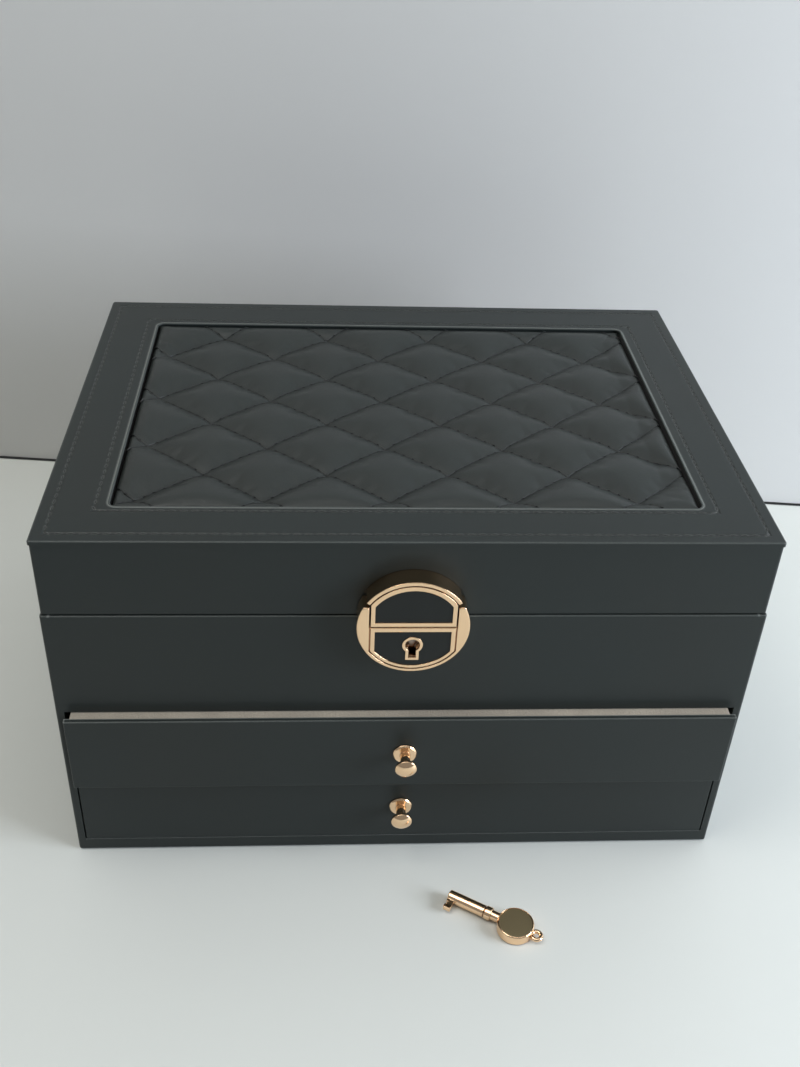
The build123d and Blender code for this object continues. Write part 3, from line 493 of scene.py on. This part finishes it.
def sewn_lines(name, lines, pitch, length, radius, thread):
    """Stitches along open or closed polylines, as one plain mesh that rides on the lid."""
    mesh = bpy.data.meshes.new(name)
    points, edges = [], []
    for line in lines:
        first = len(points)
        points += [tuple(p) for p in line]
        edges += [(i, i + 1) for i in range(first, len(points) - 1)]
    mesh.from_pydata(points, edges, [])
    obj = mesh_object(name, mesh, None)
    tree = bpy.data.node_groups.get("stitches_along_line") or stitch_tree()
    sewing = obj.modifiers.new("sewing", "NODES")
    sewing.node_group = tree
    values = {"Pitch": pitch, "Length": length, "Radius": radius, "Thread": thread}
    for socket in tree.interface.items_tree:
        if socket.name in values:
            sewing[socket.identifier] = values[socket.name]
    made_plain(obj)
    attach(obj, "lid")
    return obj


def rounded_rectangle(low, high, radius, z):
    """Points round a rectangle with round corners, at a height, closed back on its first point."""
    centres = [
        (high[0] - radius, high[1] - radius, 0), (low[0] + radius, high[1] - radius, 90),
        (low[0] + radius, low[1] + radius, 180), (high[0] - radius, low[1] + radius, 270)]
    corner_steps = 6
    points = []
    for x, y, start in centres:
        for i in range(corner_steps + 1):
            angle = math.radians(start + 90 * i / corner_steps)
            points.append(Vector((x + radius * math.cos(angle), y + radius * math.sin(angle), z)))
    return points + [points[0].copy()]


# Quilted pad

def quilt_axes(quilt):
    """The crossing the quilt starts from and the two seam directions, as far as the next crossing."""
    start = Vector((quilt.crossing_x, quilt.crossing_y))
    along = Vector((quilt.diamond_width / 2, -quilt.diamond_length / 2))
    across = Vector((quilt.diamond_width / 2, quilt.diamond_length / 2))
    return start, along, across


def quilt_coordinates(quilt, x, y):
    """How many seams along and across a point lies from the starting crossing."""
    start, along, across = quilt_axes(quilt)
    both = np.linalg.inv(np.array([[along.x, across.x], [along.y, across.y]]))
    return both @ np.array([x - start.x, y - start.y])


def window_outline():
    """Low and high corners of the window in X and Y, taken from the CAD pad's clearance inside it."""
    return (
        Vector((PAD_LOW.x - WINDOW_CLEARANCE, PAD_LOW.y - WINDOW_CLEARANCE)),
        Vector((PAD_HIGH.x + WINDOW_CLEARANCE, PAD_HIGH.y + WINDOW_CLEARANCE)))


def cover_height(quilt, x, y, fullness):
    """Height of the cover before it is filled: crowned diamonds that roll down at the rim."""
    low, high = window_outline()
    u, v = quilt_coordinates(quilt, x, y)
    s, t = u - np.floor(u), v - np.floor(v)
    crown = (4 * s * (1 - s) * 4 * t * (1 - t)) ** 0.55
    to_crossing = np.hypot(np.minimum(s, 1 - s), np.minimum(t, 1 - t))
    crossing = np.clip(1 - to_crossing / 0.3, 0, 1) ** 2
    rim = np.minimum.reduce([x - low.x, high.x - x, y - low.y, high.y - y]) - quilt.edge_gap
    inner = np.clip(rim / quilt.rim_reach, 0, 1)
    depth = quilt.seam_depth * (quilt.rim_share + (1 - quilt.rim_share) * inner)
    filling = fullness * quilt.crown * crown * np.minimum(1, depth / quilt.crown)
    surface = LID_TOP - depth + filling - quilt.crossing_depth * crossing
    share = np.clip(rim / quilt.edge_roll, 0, 1)
    rolled = np.sqrt(1 - (1 - share) ** 2)
    rim_height = PAD_LOW.z + RIM_HEIGHT
    return rim_height + (surface - rim_height) * rolled


def quilt_cover(quilt):
    """The flat cover cut to the window on a mesh that follows the seams; returns the mesh."""
    start, along, across = quilt_axes(quilt)
    low, high = window_outline()
    gap = Vector((quilt.edge_gap, quilt.edge_gap))
    low, high = low + gap, high - gap
    corners = [quilt_coordinates(quilt, x, y) for x in (low.x, high.x) for y in (low.y, high.y)]
    u_low, v_low = np.floor(np.min(corners, axis=0)).astype(int)
    u_high, v_high = np.ceil(np.max(corners, axis=0)).astype(int)
    cells = quilt.cells
    margin = 3 * MM
    sheet = bmesh.new()
    spots = {}
    for i in range((u_high - u_low) * cells + 1):
        for j in range((v_high - v_low) * cells + 1):
            place = start + along * (u_low + i / cells) + across * (v_low + j / cells)
            if (low.x - margin < place.x < high.x + margin
                    and low.y - margin < place.y < high.y + margin):
                spots[i, j] = sheet.verts.new((place.x, place.y, 0))
    for i, j in spots:
        ring = [(i, j), (i + 1, j), (i + 1, j + 1), (i, j + 1)]
        if all(spot in spots for spot in ring):
            sheet.faces.new([spots[spot] for spot in ring])
    # Four straight cuts and two across each corner trim the cover to the window
    cuts = [((low.x, 0), (-1, 0)), ((high.x, 0), (1, 0)), ((0, low.y), (0, -1)), ((0, high.y), (0, 1))]
    for sx, sy in ((-1, -1), (1, -1), (1, 1), (-1, 1)):
        hub = Vector((
            high.x - WINDOW_CORNER if sx > 0 else low.x + WINDOW_CORNER,
            high.y - WINDOW_CORNER if sy > 0 else low.y + WINDOW_CORNER))
        for angle in (30, 60):
            out = Vector((sx * math.cos(math.radians(angle)), sy * math.sin(math.radians(angle))))
            cuts.append((hub + out * WINDOW_CORNER, out))
    for point, out in cuts:
        bmesh.ops.bisect_plane(
            sheet, geom=sheet.verts[:] + sheet.edges[:] + sheet.faces[:],
            plane_co=(point[0], point[1], 0), plane_no=(out[0], out[1], 0), clear_outer=True)
    bmesh.ops.remove_doubles(sheet, verts=sheet.verts[:], dist=0.25 * MM)
    mesh = bpy.data.meshes.new("quilt_cover")
    sheet.to_mesh(mesh)
    sheet.free()
    return mesh


def seam_holes(quilt, mesh):
    """Per vertex: whether a stitch hole or the rim holds it down."""
    sheet = bmesh.new()
    sheet.from_mesh(mesh)
    holes_per_side = diamond_side(quilt)[1]
    held = []
    for vert in sheet.verts:
        u, v = quilt_coordinates(quilt, vert.co.x, vert.co.y)
        along_seam = [b for a, b in ((u, v), (v, u)) if abs(a - round(a)) < ON_SEAM]
        on_hole = any(
            abs(b * holes_per_side - round(b * holes_per_side)) < 0.5 * holes_per_side / quilt.cells
            for b in along_seam)
        held.append(bool(on_hole or vert.is_boundary))
    sheet.free()
    return held


def filled_cover(quilt, obj, held):
    """Fills the cover by a cloth simulation that its stitch holes and rim hold down."""
    group = obj.vertex_groups.new(name="held")
    group.add([i for i, h in enumerate(held) if h], 1.0, "REPLACE")
    cloth = obj.modifiers.new("filling", "CLOTH")
    cloth.settings.vertex_group_mass = "held"
    cloth.settings.use_pressure = True
    cloth.settings.uniform_pressure_force = quilt.pressure
    cloth.settings.shrink_min = -quilt.slack
    for name, value in COVER_CLOTH.items():
        setattr(cloth.settings, name, value)
    cloth.settings.effector_weights.gravity = 0
    cloth.point_cache.frame_start = 1
    cloth.point_cache.frame_end = quilt.frames
    scene = bpy.context.scene
    for step in range(1, quilt.frames + 1):
        scene.frame_set(step)
    made_plain(obj)
    scene.frame_set(1)


def coordinates(mesh):
    """A mesh's points as an array."""
    flat = np.zeros(len(mesh.vertices) * 3)
    mesh.vertices.foreach_get("co", flat)
    return flat.reshape(-1, 3)


class QUILTED_PAD(bpy.types.Operator):
    """Builds the quilted pad: a stitched cover, filled by simulation, closed by its sides and back."""
    bl_idname = "jewelry_box.quilted_pad"
    bl_label = "Quilted pad"

    def execute(self, context):
        quilt = context.scene.jewelry_box_quilt
        colours = context.scene.jewelry_box_finish
        mesh = quilt_cover(quilt)
        held = seam_holes(quilt, mesh)
        flat = coordinates(mesh)
        fullness = START_FULLNESS
        shaped = flat.copy()
        shaped[:, 2] = [cover_height(quilt, x, y, fullness) for x, y, _ in flat]
        mesh.vertices.foreach_set("co", shaped.ravel())
        mesh.update()
        leather = satin_leather(
            "soft_quilted_pu_leather", list(colours.quilt), list(colours.leather_warm), roughness=0.42,
            grain_mm=0.9, grain_height=0.05, wave_height=0.05, quilt=quilt, painted_edge_highlight=False)
        pad = mesh_object("quilted_cover", mesh, leather)
        filled_cover(quilt, pad, held)
        moved = coordinates(pad.data)
        low, high = window_outline()
        keep = quilt.edge_gap * KEPT_GAP
        moved[:, 0] = np.clip(moved[:, 0], low.x + keep, high.x - keep)
        moved[:, 1] = np.clip(moved[:, 1], low.y + keep, high.y - keep)
        full = np.array([cover_height(quilt, x, y, 1.0) for x, y, _ in flat])
        moved[:, 2] = np.minimum(moved[:, 2], full + FILLING_LIMIT)
        pad.data.vertices.foreach_set("co", moved.ravel())
        self.sew(context, quilt, colours, flat, coordinates(pad.data))
        smoothed(pad)
        self.close(pad)
        shade_smooth(pad.data)
        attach(pad, "lid")
        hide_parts("quilted_pad")
        return {"FINISHED"}

    def sew(self, context, quilt, colours, flat, filled):
        """Stitches along each seam, on the filled cover."""
        stitch = context.scene.jewelry_box_stitch
        lines = {}
        for (x, y, _), place in zip(flat, filled):
            u, v = quilt_coordinates(quilt, x, y)
            if abs(u - round(u)) < ON_SEAM:
                lines.setdefault(("u", round(u)), []).append((v, tuple(place)))
            if abs(v - round(v)) < ON_SEAM:
                lines.setdefault(("v", round(v)), []).append((u, tuple(place)))
        seams = []
        for key in sorted(lines):
            line = [Vector(p) + Vector((0, 0, HAIR)) for _, p in sorted(lines[key])]
            if len(line) > 3:
                seams.append(line)
        side, stitches = diamond_side(quilt)
        thread = twisted_thread("bonded_quilt_thread", list(colours.thread))
        sewn_lines("quilt_stitches", seams, side / stitches, stitch.seam_length, stitch.radius, thread)

    def close(self, pad):
        """Sides down to the board and a back, so that the pad is a closed form."""
        form = bmesh.new()
        form.from_mesh(pad.data)
        bmesh.ops.recalc_face_normals(form, faces=form.faces[:])
        if sum(face.normal.z for face in form.faces) < 0:
            bmesh.ops.reverse_faces(form, faces=form.faces[:])
        rim = [edge for edge in form.edges if edge.is_boundary]
        made = bmesh.ops.extrude_edge_only(form, edges=rim)["geom"]
        bottom = [v for v in made if isinstance(v, bmesh.types.BMVert)]
        for vert in bottom:
            vert.co.z = PAD_LOW.z + HAIR
        bmesh.ops.holes_fill(form, edges=[e for e in form.edges if e.is_boundary])
        bmesh.ops.recalc_face_normals(form, faces=form.faces[:])
        form.to_mesh(pad.data)
        form.free()


class FRAME_STITCHES(bpy.types.Operator):
    """Sews the two stitch lines of the lid's top frame."""
    bl_idname = "jewelry_box.frame_stitches"
    bl_label = "Frame stitches"

    def execute(self, context):
        stitch = context.scene.jewelry_box_stitch
        thread = twisted_thread("bonded_frame_thread", list(context.scene.jewelry_box_finish.thread))
        loops = [
            rounded_rectangle(low, high, 1.5 * MM, LID_TOP - 0.05 * MM)
            for low, high in stitch_loops(stitch)]
        sewn_lines("frame_stitches", loops, stitch.pitch, stitch.length, stitch.radius, thread)
        return {"FINISHED"}


def stitch_loops(stitch):
    """Low and high corners of the frame's outer and inner stitch lines."""
    inset = Vector((stitch.outer_inset, stitch.outer_inset))
    low, high = window_outline()
    return [
        (FRAME_LOW.xy + inset, FRAME_HIGH.xy - inset),
        (low - Vector((stitch.window_inset, stitch.window_front)),
         high + Vector((stitch.window_inset, stitch.window_back)))]


class WINDOW_EDGE(bpy.types.Operator):
    """Rolls the leather's edge round the window, as a narrow bead."""
    bl_idname = "jewelry_box.window_edge"
    bl_label = "Window edge"

    def execute(self, context):
        low, high = window_outline()
        bead = 0.45 * MM
        points = rounded_rectangle(low, high, WINDOW_CORNER, LID_TOP - bead * 0.7)[:-1]
        curve = bpy.data.curves.new("window_edge_line", "CURVE")
        curve.dimensions = "3D"
        curve.bevel_depth = bead
        curve.bevel_resolution = 4
        run = curve.splines.new("POLY")
        run.points.add(len(points) - 1)
        for spot, place in zip(run.points, points):
            spot.co = (*place, 1)
        run.use_cyclic_u = True
        source = bpy.data.objects.new("window_edge_line", curve)
        context.scene.collection.objects.link(source)
        context.view_layer.update()
        mesh = bpy.data.meshes.new_from_object(source.evaluated_get(context.evaluated_depsgraph_get()))
        bpy.data.objects.remove(source)
        bpy.data.curves.remove(curve)
        # Painted highlight: the bead is made paler than the boards' leather, so that it shows as a bright
        # line round the window
        edge = satin_leather(
            "window_edge_leather_painted_highlight", linear("#3b403f"), linear("#454a48"), roughness=0.3,
            grain_mm=0.7, grain_height=0.01, wave_height=0.02, painted_edge_highlight=False)
        obj = mesh_object("window_edge", mesh, edge)
        shade_smooth(mesh)
        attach(obj, "lid")
        return {"FINISHED"}


class WRAPPED_BOARDS(bpy.types.Operator):
    """Finishes the boards that are wrapped in smooth leather, and the hidden papered ones."""
    bl_idname = "jewelry_box.wrapped_boards"
    bl_label = "Wrapped boards"

    def execute(self, context):
        colours = context.scene.jewelry_box_finish
        stitch = context.scene.jewelry_box_stitch
        grooves = []
        for low, high in stitch_loops(stitch):
            grooves.append((tuple((low + high) / 2), tuple((high - low) / 2), 0.9 * MM))
        skin = {
            "colour": list(colours.leather), "warm": list(colours.leather_warm),
            "grain_mm": 0.7, "grain_height": 0.012, "wave_height": 0.25}
        plain = satin_leather("satin_pu_leather_on_board", roughness=0.36, **skin)
        sewn = satin_leather("satin_pu_leather_stitched", roughness=0.38, grooves=grooves, **skin)
        finish_nodes(nodes_of_slot("wrap"), plain)
        finish_nodes(["lid_top_frame"], sewn)
        finish_nodes(nodes_of_slot("board"), paper("dark_covering_paper", list(colours.paper)))
        finish_nodes(nodes_of_slot("base_felt"), velvet("needled_base_felt", list(colours.felt), shade=0.6))
        return {"FINISHED"}


class LININGS(bpy.types.Operator):
    """Lines the tray, lid and drawers with velvet."""
    bl_idname = "jewelry_box.linings"
    bl_label = "Velvet linings"

    def execute(self, context):
        colours = context.scene.jewelry_box_finish
        finish_nodes(nodes_of_slot("lining"), velvet(VELVET_LINING, list(colours.velvet), NAP_SHADE))
        # Painted shade: the drawers' velvet is a darker copy of the tray's, for the shade in the drawers'
        # gaps
        shaded = [c * 0.9 for c in colours.velvet[:3]] + [1.0]
        finish_nodes(
            nodes_of_slot("drawer_lining"), velvet("velvet_drawer_lining_painted_shade", shaded, NAP_SHADE))
        mirror, tree, shader, place = new_material("silvered_mirror_glass")
        haze = node(tree, "ShaderNodeTexNoise", {"Vector": place, "Scale": 1 / (30 * MM)}).outputs["Fac"]
        gloss = node(
            tree, "ShaderNodeMapRange", {"Value": haze, "To Min": 0.01, "To Max": 0.04}).outputs["Result"]
        shader.inputs["Base Color"].default_value = linear("#e9ecec")
        shader.inputs["Metallic"].default_value = 1.0
        connect(tree, shader, Roughness=gloss)
        finish_nodes(nodes_of_slot("mirror"), mirror)
        return {"FINISHED"}


def roll_form(length, width, height, seed):
    """One ring roll about the origin: a foam roll with a flat foot, domed ends and a lively crown."""
    rows, around = 40, 28
    random = np.random.default_rng(seed)
    phase = random.uniform(0, 2 * math.pi, 3)
    points, faces = [], []
    for i in range(rows + 1):
        s = i / rows
        end = min(s, 1 - s) * length / (width * 0.45)
        swell = math.sqrt(1 - (1 - min(end, 1)) ** 2) if end < 1 else 1.0
        lively = 1 + 0.012 * sum(math.sin(s * k * 9 + phase[k - 1]) for k in (1, 2, 3))
        for j in range(around):
            angle = 2 * math.pi * j / around
            y = math.cos(angle)
            z = math.sin(angle)
            y = math.copysign(abs(y) ** 0.75, y) * width / 2 * (0.35 + 0.65 * swell)
            z = math.copysign(abs(z) ** (0.85 if z > 0 else 0.45), z)
            z = height / 2 + z * height / 2 * (0.45 + 0.55 * swell) * (lively if z > 0 else 1)
            points.append(((s - 0.5) * length, y, z))
    for i in range(rows):
        for j in range(around):
            k = (j + 1) % around
            faces.append((i * around + j, (i + 1) * around + j, (i + 1) * around + k, i * around + k))
    faces.append(tuple(range(around)))
    faces.append(tuple(reversed(range(rows * around, (rows + 1) * around))))
    return points, faces


class RING_ROLLS(bpy.types.Operator):
    """Builds the velvet ring rolls in place of the plain ones."""
    bl_idname = "jewelry_box.ring_rolls"
    bl_label = "Ring rolls"

    def execute(self, context):
        low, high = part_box("ring_rolls")
        count, width = 12, 13.0 * MM
        pitch = (high.y - low.y - width) / (count - 1)
        points, faces = [], []
        for index in range(count):
            spots, sides = roll_form(high.x - low.x, width - 0.2 * MM, high.z - low.z, index)
            first = len(points)
            middle = Vector(((low.x + high.x) / 2, low.y + width / 2 + index * pitch, low.z))
            points += [Vector(p) + middle for p in spots]
            faces += [tuple(first + i for i in face) for face in sides]
        mesh = bpy.data.meshes.new("ring_roll_pads")
        mesh.from_pydata(points, [], faces)
        form = bmesh.new()
        form.from_mesh(mesh)
        bmesh.ops.recalc_face_normals(form, faces=form.faces[:])
        form.to_mesh(mesh)
        form.free()
        rolls = mesh_object("ring_roll_pads", mesh, bpy.data.materials[VELVET_LINING])
        smoothed(rolls)
        shade_smooth(rolls.data)
        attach(rolls, "case")
        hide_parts("ring_rolls")
        return {"FINISHED"}


class TRAY_PAD(bpy.types.Operator):
    """Builds the thin padded floor of the tray."""
    bl_idname = "jewelry_box.tray_pad"
    bl_label = "Tray floor pad"

    def execute(self, context):
        low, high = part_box("tray_floor_pad")
        across, along = 60, 44
        rise = 0.25 * MM
        points, faces = [], []
        for i in range(across + 1):
            for j in range(along + 1):
                x = low.x + (high.x - low.x) * i / across
                y = low.y + (high.y - low.y) * j / along
                rim = min(x - low.x, high.x - x, y - low.y, high.y - y) / (3 * MM)
                points.append((x, y, high.z - rise + min(1.0, rim) * rise))
        stride = along + 1
        for i in range(across):
            for j in range(along):
                first = i * stride + j
                faces.append((first, first + stride, first + stride + 1, first + 1))
        mesh = bpy.data.meshes.new("tray_floor_velvet")
        mesh.from_pydata(points, [], faces)
        floor = mesh_object("tray_floor_velvet", mesh, bpy.data.materials[VELVET_LINING])
        solid = floor.modifiers.new("thickness", "SOLIDIFY")
        solid.thickness = (high.z - low.z) - rise
        solid.offset = -1
        made_plain(floor)
        shade_smooth(floor.data)
        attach(floor, "case")
        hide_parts("tray_floor_pad")
        return {"FINISHED"}


class METALWORK(bpy.types.Operator):
    """Finishes the lock, knobs, key, hinges and screws."""
    bl_idname = "jewelry_box.metalwork"
    bl_label = "Metalwork"

    def execute(self, context):
        colours = context.scene.jewelry_box_finish
        brushed = {"depth": 4.0, "streak": True}
        for slot, name, colour, roughness, spread, dimple_height, more in (
                ("gold", "polished_champagne_gold_plating", colours.gold, 0.11, 0.03, 0.003, {}),
                ("key_face", "polished_bronze_face", colours.bronze, 0.4, 0.05, 0.004, {}),
                ("steel", "brushed_steel", colours.steel, 0.34, 0.08, 0.01, brushed)):
            surface = metal(name, list(colour), roughness, spread, dimple_height, **more)
            finish_nodes(nodes_of_slot(slot), surface)
        inlay = satin_leather(
            "smooth_black_inlay_leather", list(colours.inlay), list(colours.inlay), roughness=0.38,
            grain_mm=0.5, grain_height=0.01, wave_height=0.02)
        finish_nodes(nodes_of_slot("inlay"), inlay)
        return {"FINISHED"}


# Stage

CAMERA_PLACE = Vector((-30.44, -420.29, 383.28)) * MM
CAMERA_YAW, CAMERA_PITCH, CAMERA_ROLL = 4.48, 34.85, 2.73
CAMERA_LENS = 39.42

# The wall's foot, left and right, its height, and the gap under it
WALL_LEFT, WALL_RIGHT = Vector((-1.5, 0.3384, 0)), Vector((1.5, 0.0343, 0))
WALL_HEIGHT, WALL_GAP = 2.5, 0.9 * MM
FLOOR_REACH = 3

# Each area light: name, place, aim, side in metres, watts, colour
LIGHTS = (
    ("ceiling", (0.1, -0.1, 1.5), (0, 0, 0), 1.4, 7.5, "#fffefb"),
    ("lamp", (-0.7, -0.3, 1.4), (0, 0, 0), 0.8, 6.5, "#fffdf8"),
    ("window", (1.0, -0.46, 0.42), (0.05, 0, 0.06), 0.55, 14.0, "#e9f2ff"))

# The least strength of the room in mirrors and in front of the camera
MIRRORED_ROOM, SEEN_ROOM = 0.3, 0.6


def stage_sheet(name, corners, material):
    """One flat sheet of the stage, through its corners."""
    mesh = bpy.data.meshes.new(name)
    mesh.from_pydata(corners, [], [tuple(range(len(corners)))])
    obj = mesh_object(name, mesh, material)
    return obj


def open_from_behind(material):
    """Lets the box be seen through the wall's back, from where the wall would hide it."""
    tree = material.node_tree
    back = node(tree, "ShaderNodeNewGeometry").outputs["Backfacing"]
    clear = node(tree, "ShaderNodeBsdfTransparent").outputs["BSDF"]
    paint = tree.nodes["Principled BSDF"].outputs["BSDF"]
    mix = node(tree, "ShaderNodeMixShader", {0: back, 1: paint, 2: clear})
    tree.links.new(mix.outputs["Shader"], tree.nodes["Material Output"].inputs["Surface"])


class STAGE(bpy.types.Operator):
    """Sets the floor, wall, lights and camera."""
    bl_idname = "jewelry_box.stage"
    bl_label = "Stage"

    def execute(self, context):
        scene = context.scene
        colours = scene.jewelry_box_finish
        floor = painted_surface("matt_floor_paint", colours.floor, smudge=0.94, scale_mm=260)
        wall = painted_surface("matt_wall_paint", colours.wall, smudge=0.95, scale_mm=400)
        open_from_behind(wall)
        # The wall stands behind the box, turned a little, with a narrow gap at its foot
        left, right = WALL_LEFT, WALL_RIGHT
        corners = ((-1, -1), (1, -1), (1, 1), (-1, 1))
        stage_sheet("stage_floor", [(x * FLOOR_REACH, y * FLOOR_REACH, 0) for x, y in corners], floor)
        up = Vector((0, 0, WALL_HEIGHT))
        foot = Vector((0, 0, WALL_GAP))
        stage_sheet("stage_wall", [left + foot, right + foot, right + up, left + up], wall)
        # Painted shade: a dark sheet along the wall's foot stands in for the shade in the gap under the wall
        wall_foot_shade = painted_surface("painted_shade_at_wall_foot", linear("#1c1c1d"), smudge=0.8, scale_mm=30)
        near = Vector((0, -1.6 * MM, 0.3 * MM))
        far = Vector((0, 1 * MM, 0.3 * MM))
        stage_sheet("stage_wall_foot_shade", [left + near, right + near, right + far, left + far], wall_foot_shade)
        self.camera(scene)
        self.lights(scene)
        scene.view_settings.view_transform = "Standard"
        return {"FINISHED"}

    def camera(self, scene):
        """The camera at the photograph's place; its rows are the picture's right, down and forward."""
        yaw, pitch, roll = (math.radians(a) for a in (CAMERA_YAW, CAMERA_PITCH, CAMERA_ROLL))
        base = Matrix(((1, 0, 0), (0, 0, -1), (0, 1, 0)))
        turned = (
            Matrix.Rotation(roll, 3, "Z") @ Matrix.Rotation(pitch, 3, "X") @ base
            @ Matrix.Rotation(yaw, 3, "Z"))
        right, down, forward = turned
        place = Matrix((right, -down, -forward)).transposed().to_4x4()
        place.translation = CAMERA_PLACE
        data = bpy.data.cameras.new("camera")
        data.lens = CAMERA_LENS
        data.sensor_width = 36.0
        data.clip_start = 0.01
        cam = bpy.data.objects.new("camera", data)
        scene.collection.objects.link(cam)
        cam.matrix_world = place
        scene.camera = cam

    def lights(self, scene):
        """A broad soft ceiling light, a lamp to the left, a low window to the right, and a dim room."""
        for name, place, aim, size, power, tint in LIGHTS:
            data = bpy.data.lights.new(name, "AREA")
            data.shape = "SQUARE"
            data.size = size
            data.energy = power
            data.color = linear(tint)[:3]
            lamp = bpy.data.objects.new(name, data)
            scene.collection.objects.link(lamp)
            lamp.location = place
            lamp.rotation_euler = (Vector(place) - Vector(aim)).to_track_quat("Z", "Y").to_euler()
        world = bpy.data.worlds.new("pale_room")
        scene.world = world
        world.use_nodes = True
        tree = world.node_tree
        room = tree.nodes["Background"]
        axes = node(
            tree, "ShaderNodeSeparateXYZ", {"Vector": node(tree, "ShaderNodeTexCoord").outputs["Generated"]})
        side = node(
            tree, "ShaderNodeMapRange",
            {"Value": axes.outputs["X"], "From Min": -0.3, "From Max": 0.9, "To Min": 0.02, "To Max": 0.2})
        rise = node(
            tree, "ShaderNodeMapRange",
            {"Value": axes.outputs["Z"], "From Min": 0.1, "From Max": 0.9, "To Min": 0.0, "To Max": 0.12})
        dim = node(tree, "ShaderNodeMath", {0: side.outputs[0], 1: rise.outputs[0]}, operation="ADD")
        mirrored = node(tree, "ShaderNodeLightPath").outputs["Is Glossy Ray"]
        pale = node(tree, "ShaderNodeMath", {0: mirrored, 1: MIRRORED_ROOM}, operation="MULTIPLY")
        lit = node(tree, "ShaderNodeMath", {0: dim.outputs[0], 1: pale.outputs[0]}, operation="MAXIMUM")
        seen = node(tree, "ShaderNodeLightPath").outputs["Is Camera Ray"]
        backdrop = node(tree, "ShaderNodeMath", {0: seen, 1: SEEN_ROOM}, operation="MULTIPLY")
        strength = node(
            tree, "ShaderNodeMath", {0: lit.outputs[0], 1: backdrop.outputs[0]}, operation="MAXIMUM")
        room.inputs["Color"].default_value = linear("#eef1f2")
        tree.links.new(strength.outputs[0], room.inputs["Strength"])


class JEWELRY_BOX_PANEL(bpy.types.Panel):
    """Lists the box's pieces in the sidebar."""
    bl_idname = "VIEW3D_PT_jewelry_box"
    bl_label = "Jewelry box"
    bl_space_type = "VIEW_3D"
    bl_region_type = "UI"
    bl_category = "Jewelry box"

    def draw(self, context):
        for operator in OPERATORS:
            self.layout.operator(operator.bl_idname)
        for group in (context.scene.jewelry_box_quilt, context.scene.jewelry_box_stitch,
                      context.scene.jewelry_box_finish):
            for name in group.bl_rna.properties.keys():
                if name not in ("rna_type", "name"):
                    self.layout.prop(group, name)


SETTINGS = {
    "jewelry_box_quilt": QuiltSettings,
    "jewelry_box_stitch": StitchSettings,
    "jewelry_box_finish": FinishSettings,
}
OPERATORS = [
    WRAPPED_BOARDS, LININGS, QUILTED_PAD, FRAME_STITCHES, WINDOW_EDGE, RING_ROLLS, TRAY_PAD, METALWORK, STAGE]


def register():
    """Registers the settings, operators and panel."""
    for name, group in SETTINGS.items():
        bpy.utils.register_class(group)
        setattr(bpy.types.Scene, name, PointerProperty(type=group))
    for operator in OPERATORS:
        bpy.utils.register_class(operator)
    bpy.utils.register_class(JEWELRY_BOX_PANEL)


def unregister():
    """Removes what register added."""
    bpy.utils.unregister_class(JEWELRY_BOX_PANEL)
    for operator in reversed(OPERATORS):
        bpy.utils.unregister_class(operator)
    for name, group in SETTINGS.items():
        delattr(bpy.types.Scene, name)
        bpy.utils.unregister_class(group)


def main():
    """Builds every piece in order."""
    register()
    for operator in OPERATORS:
        group, name = operator.bl_idname.split(".")
        getattr(getattr(bpy.ops, group), name)()


if __name__ == "__main__":
    main()
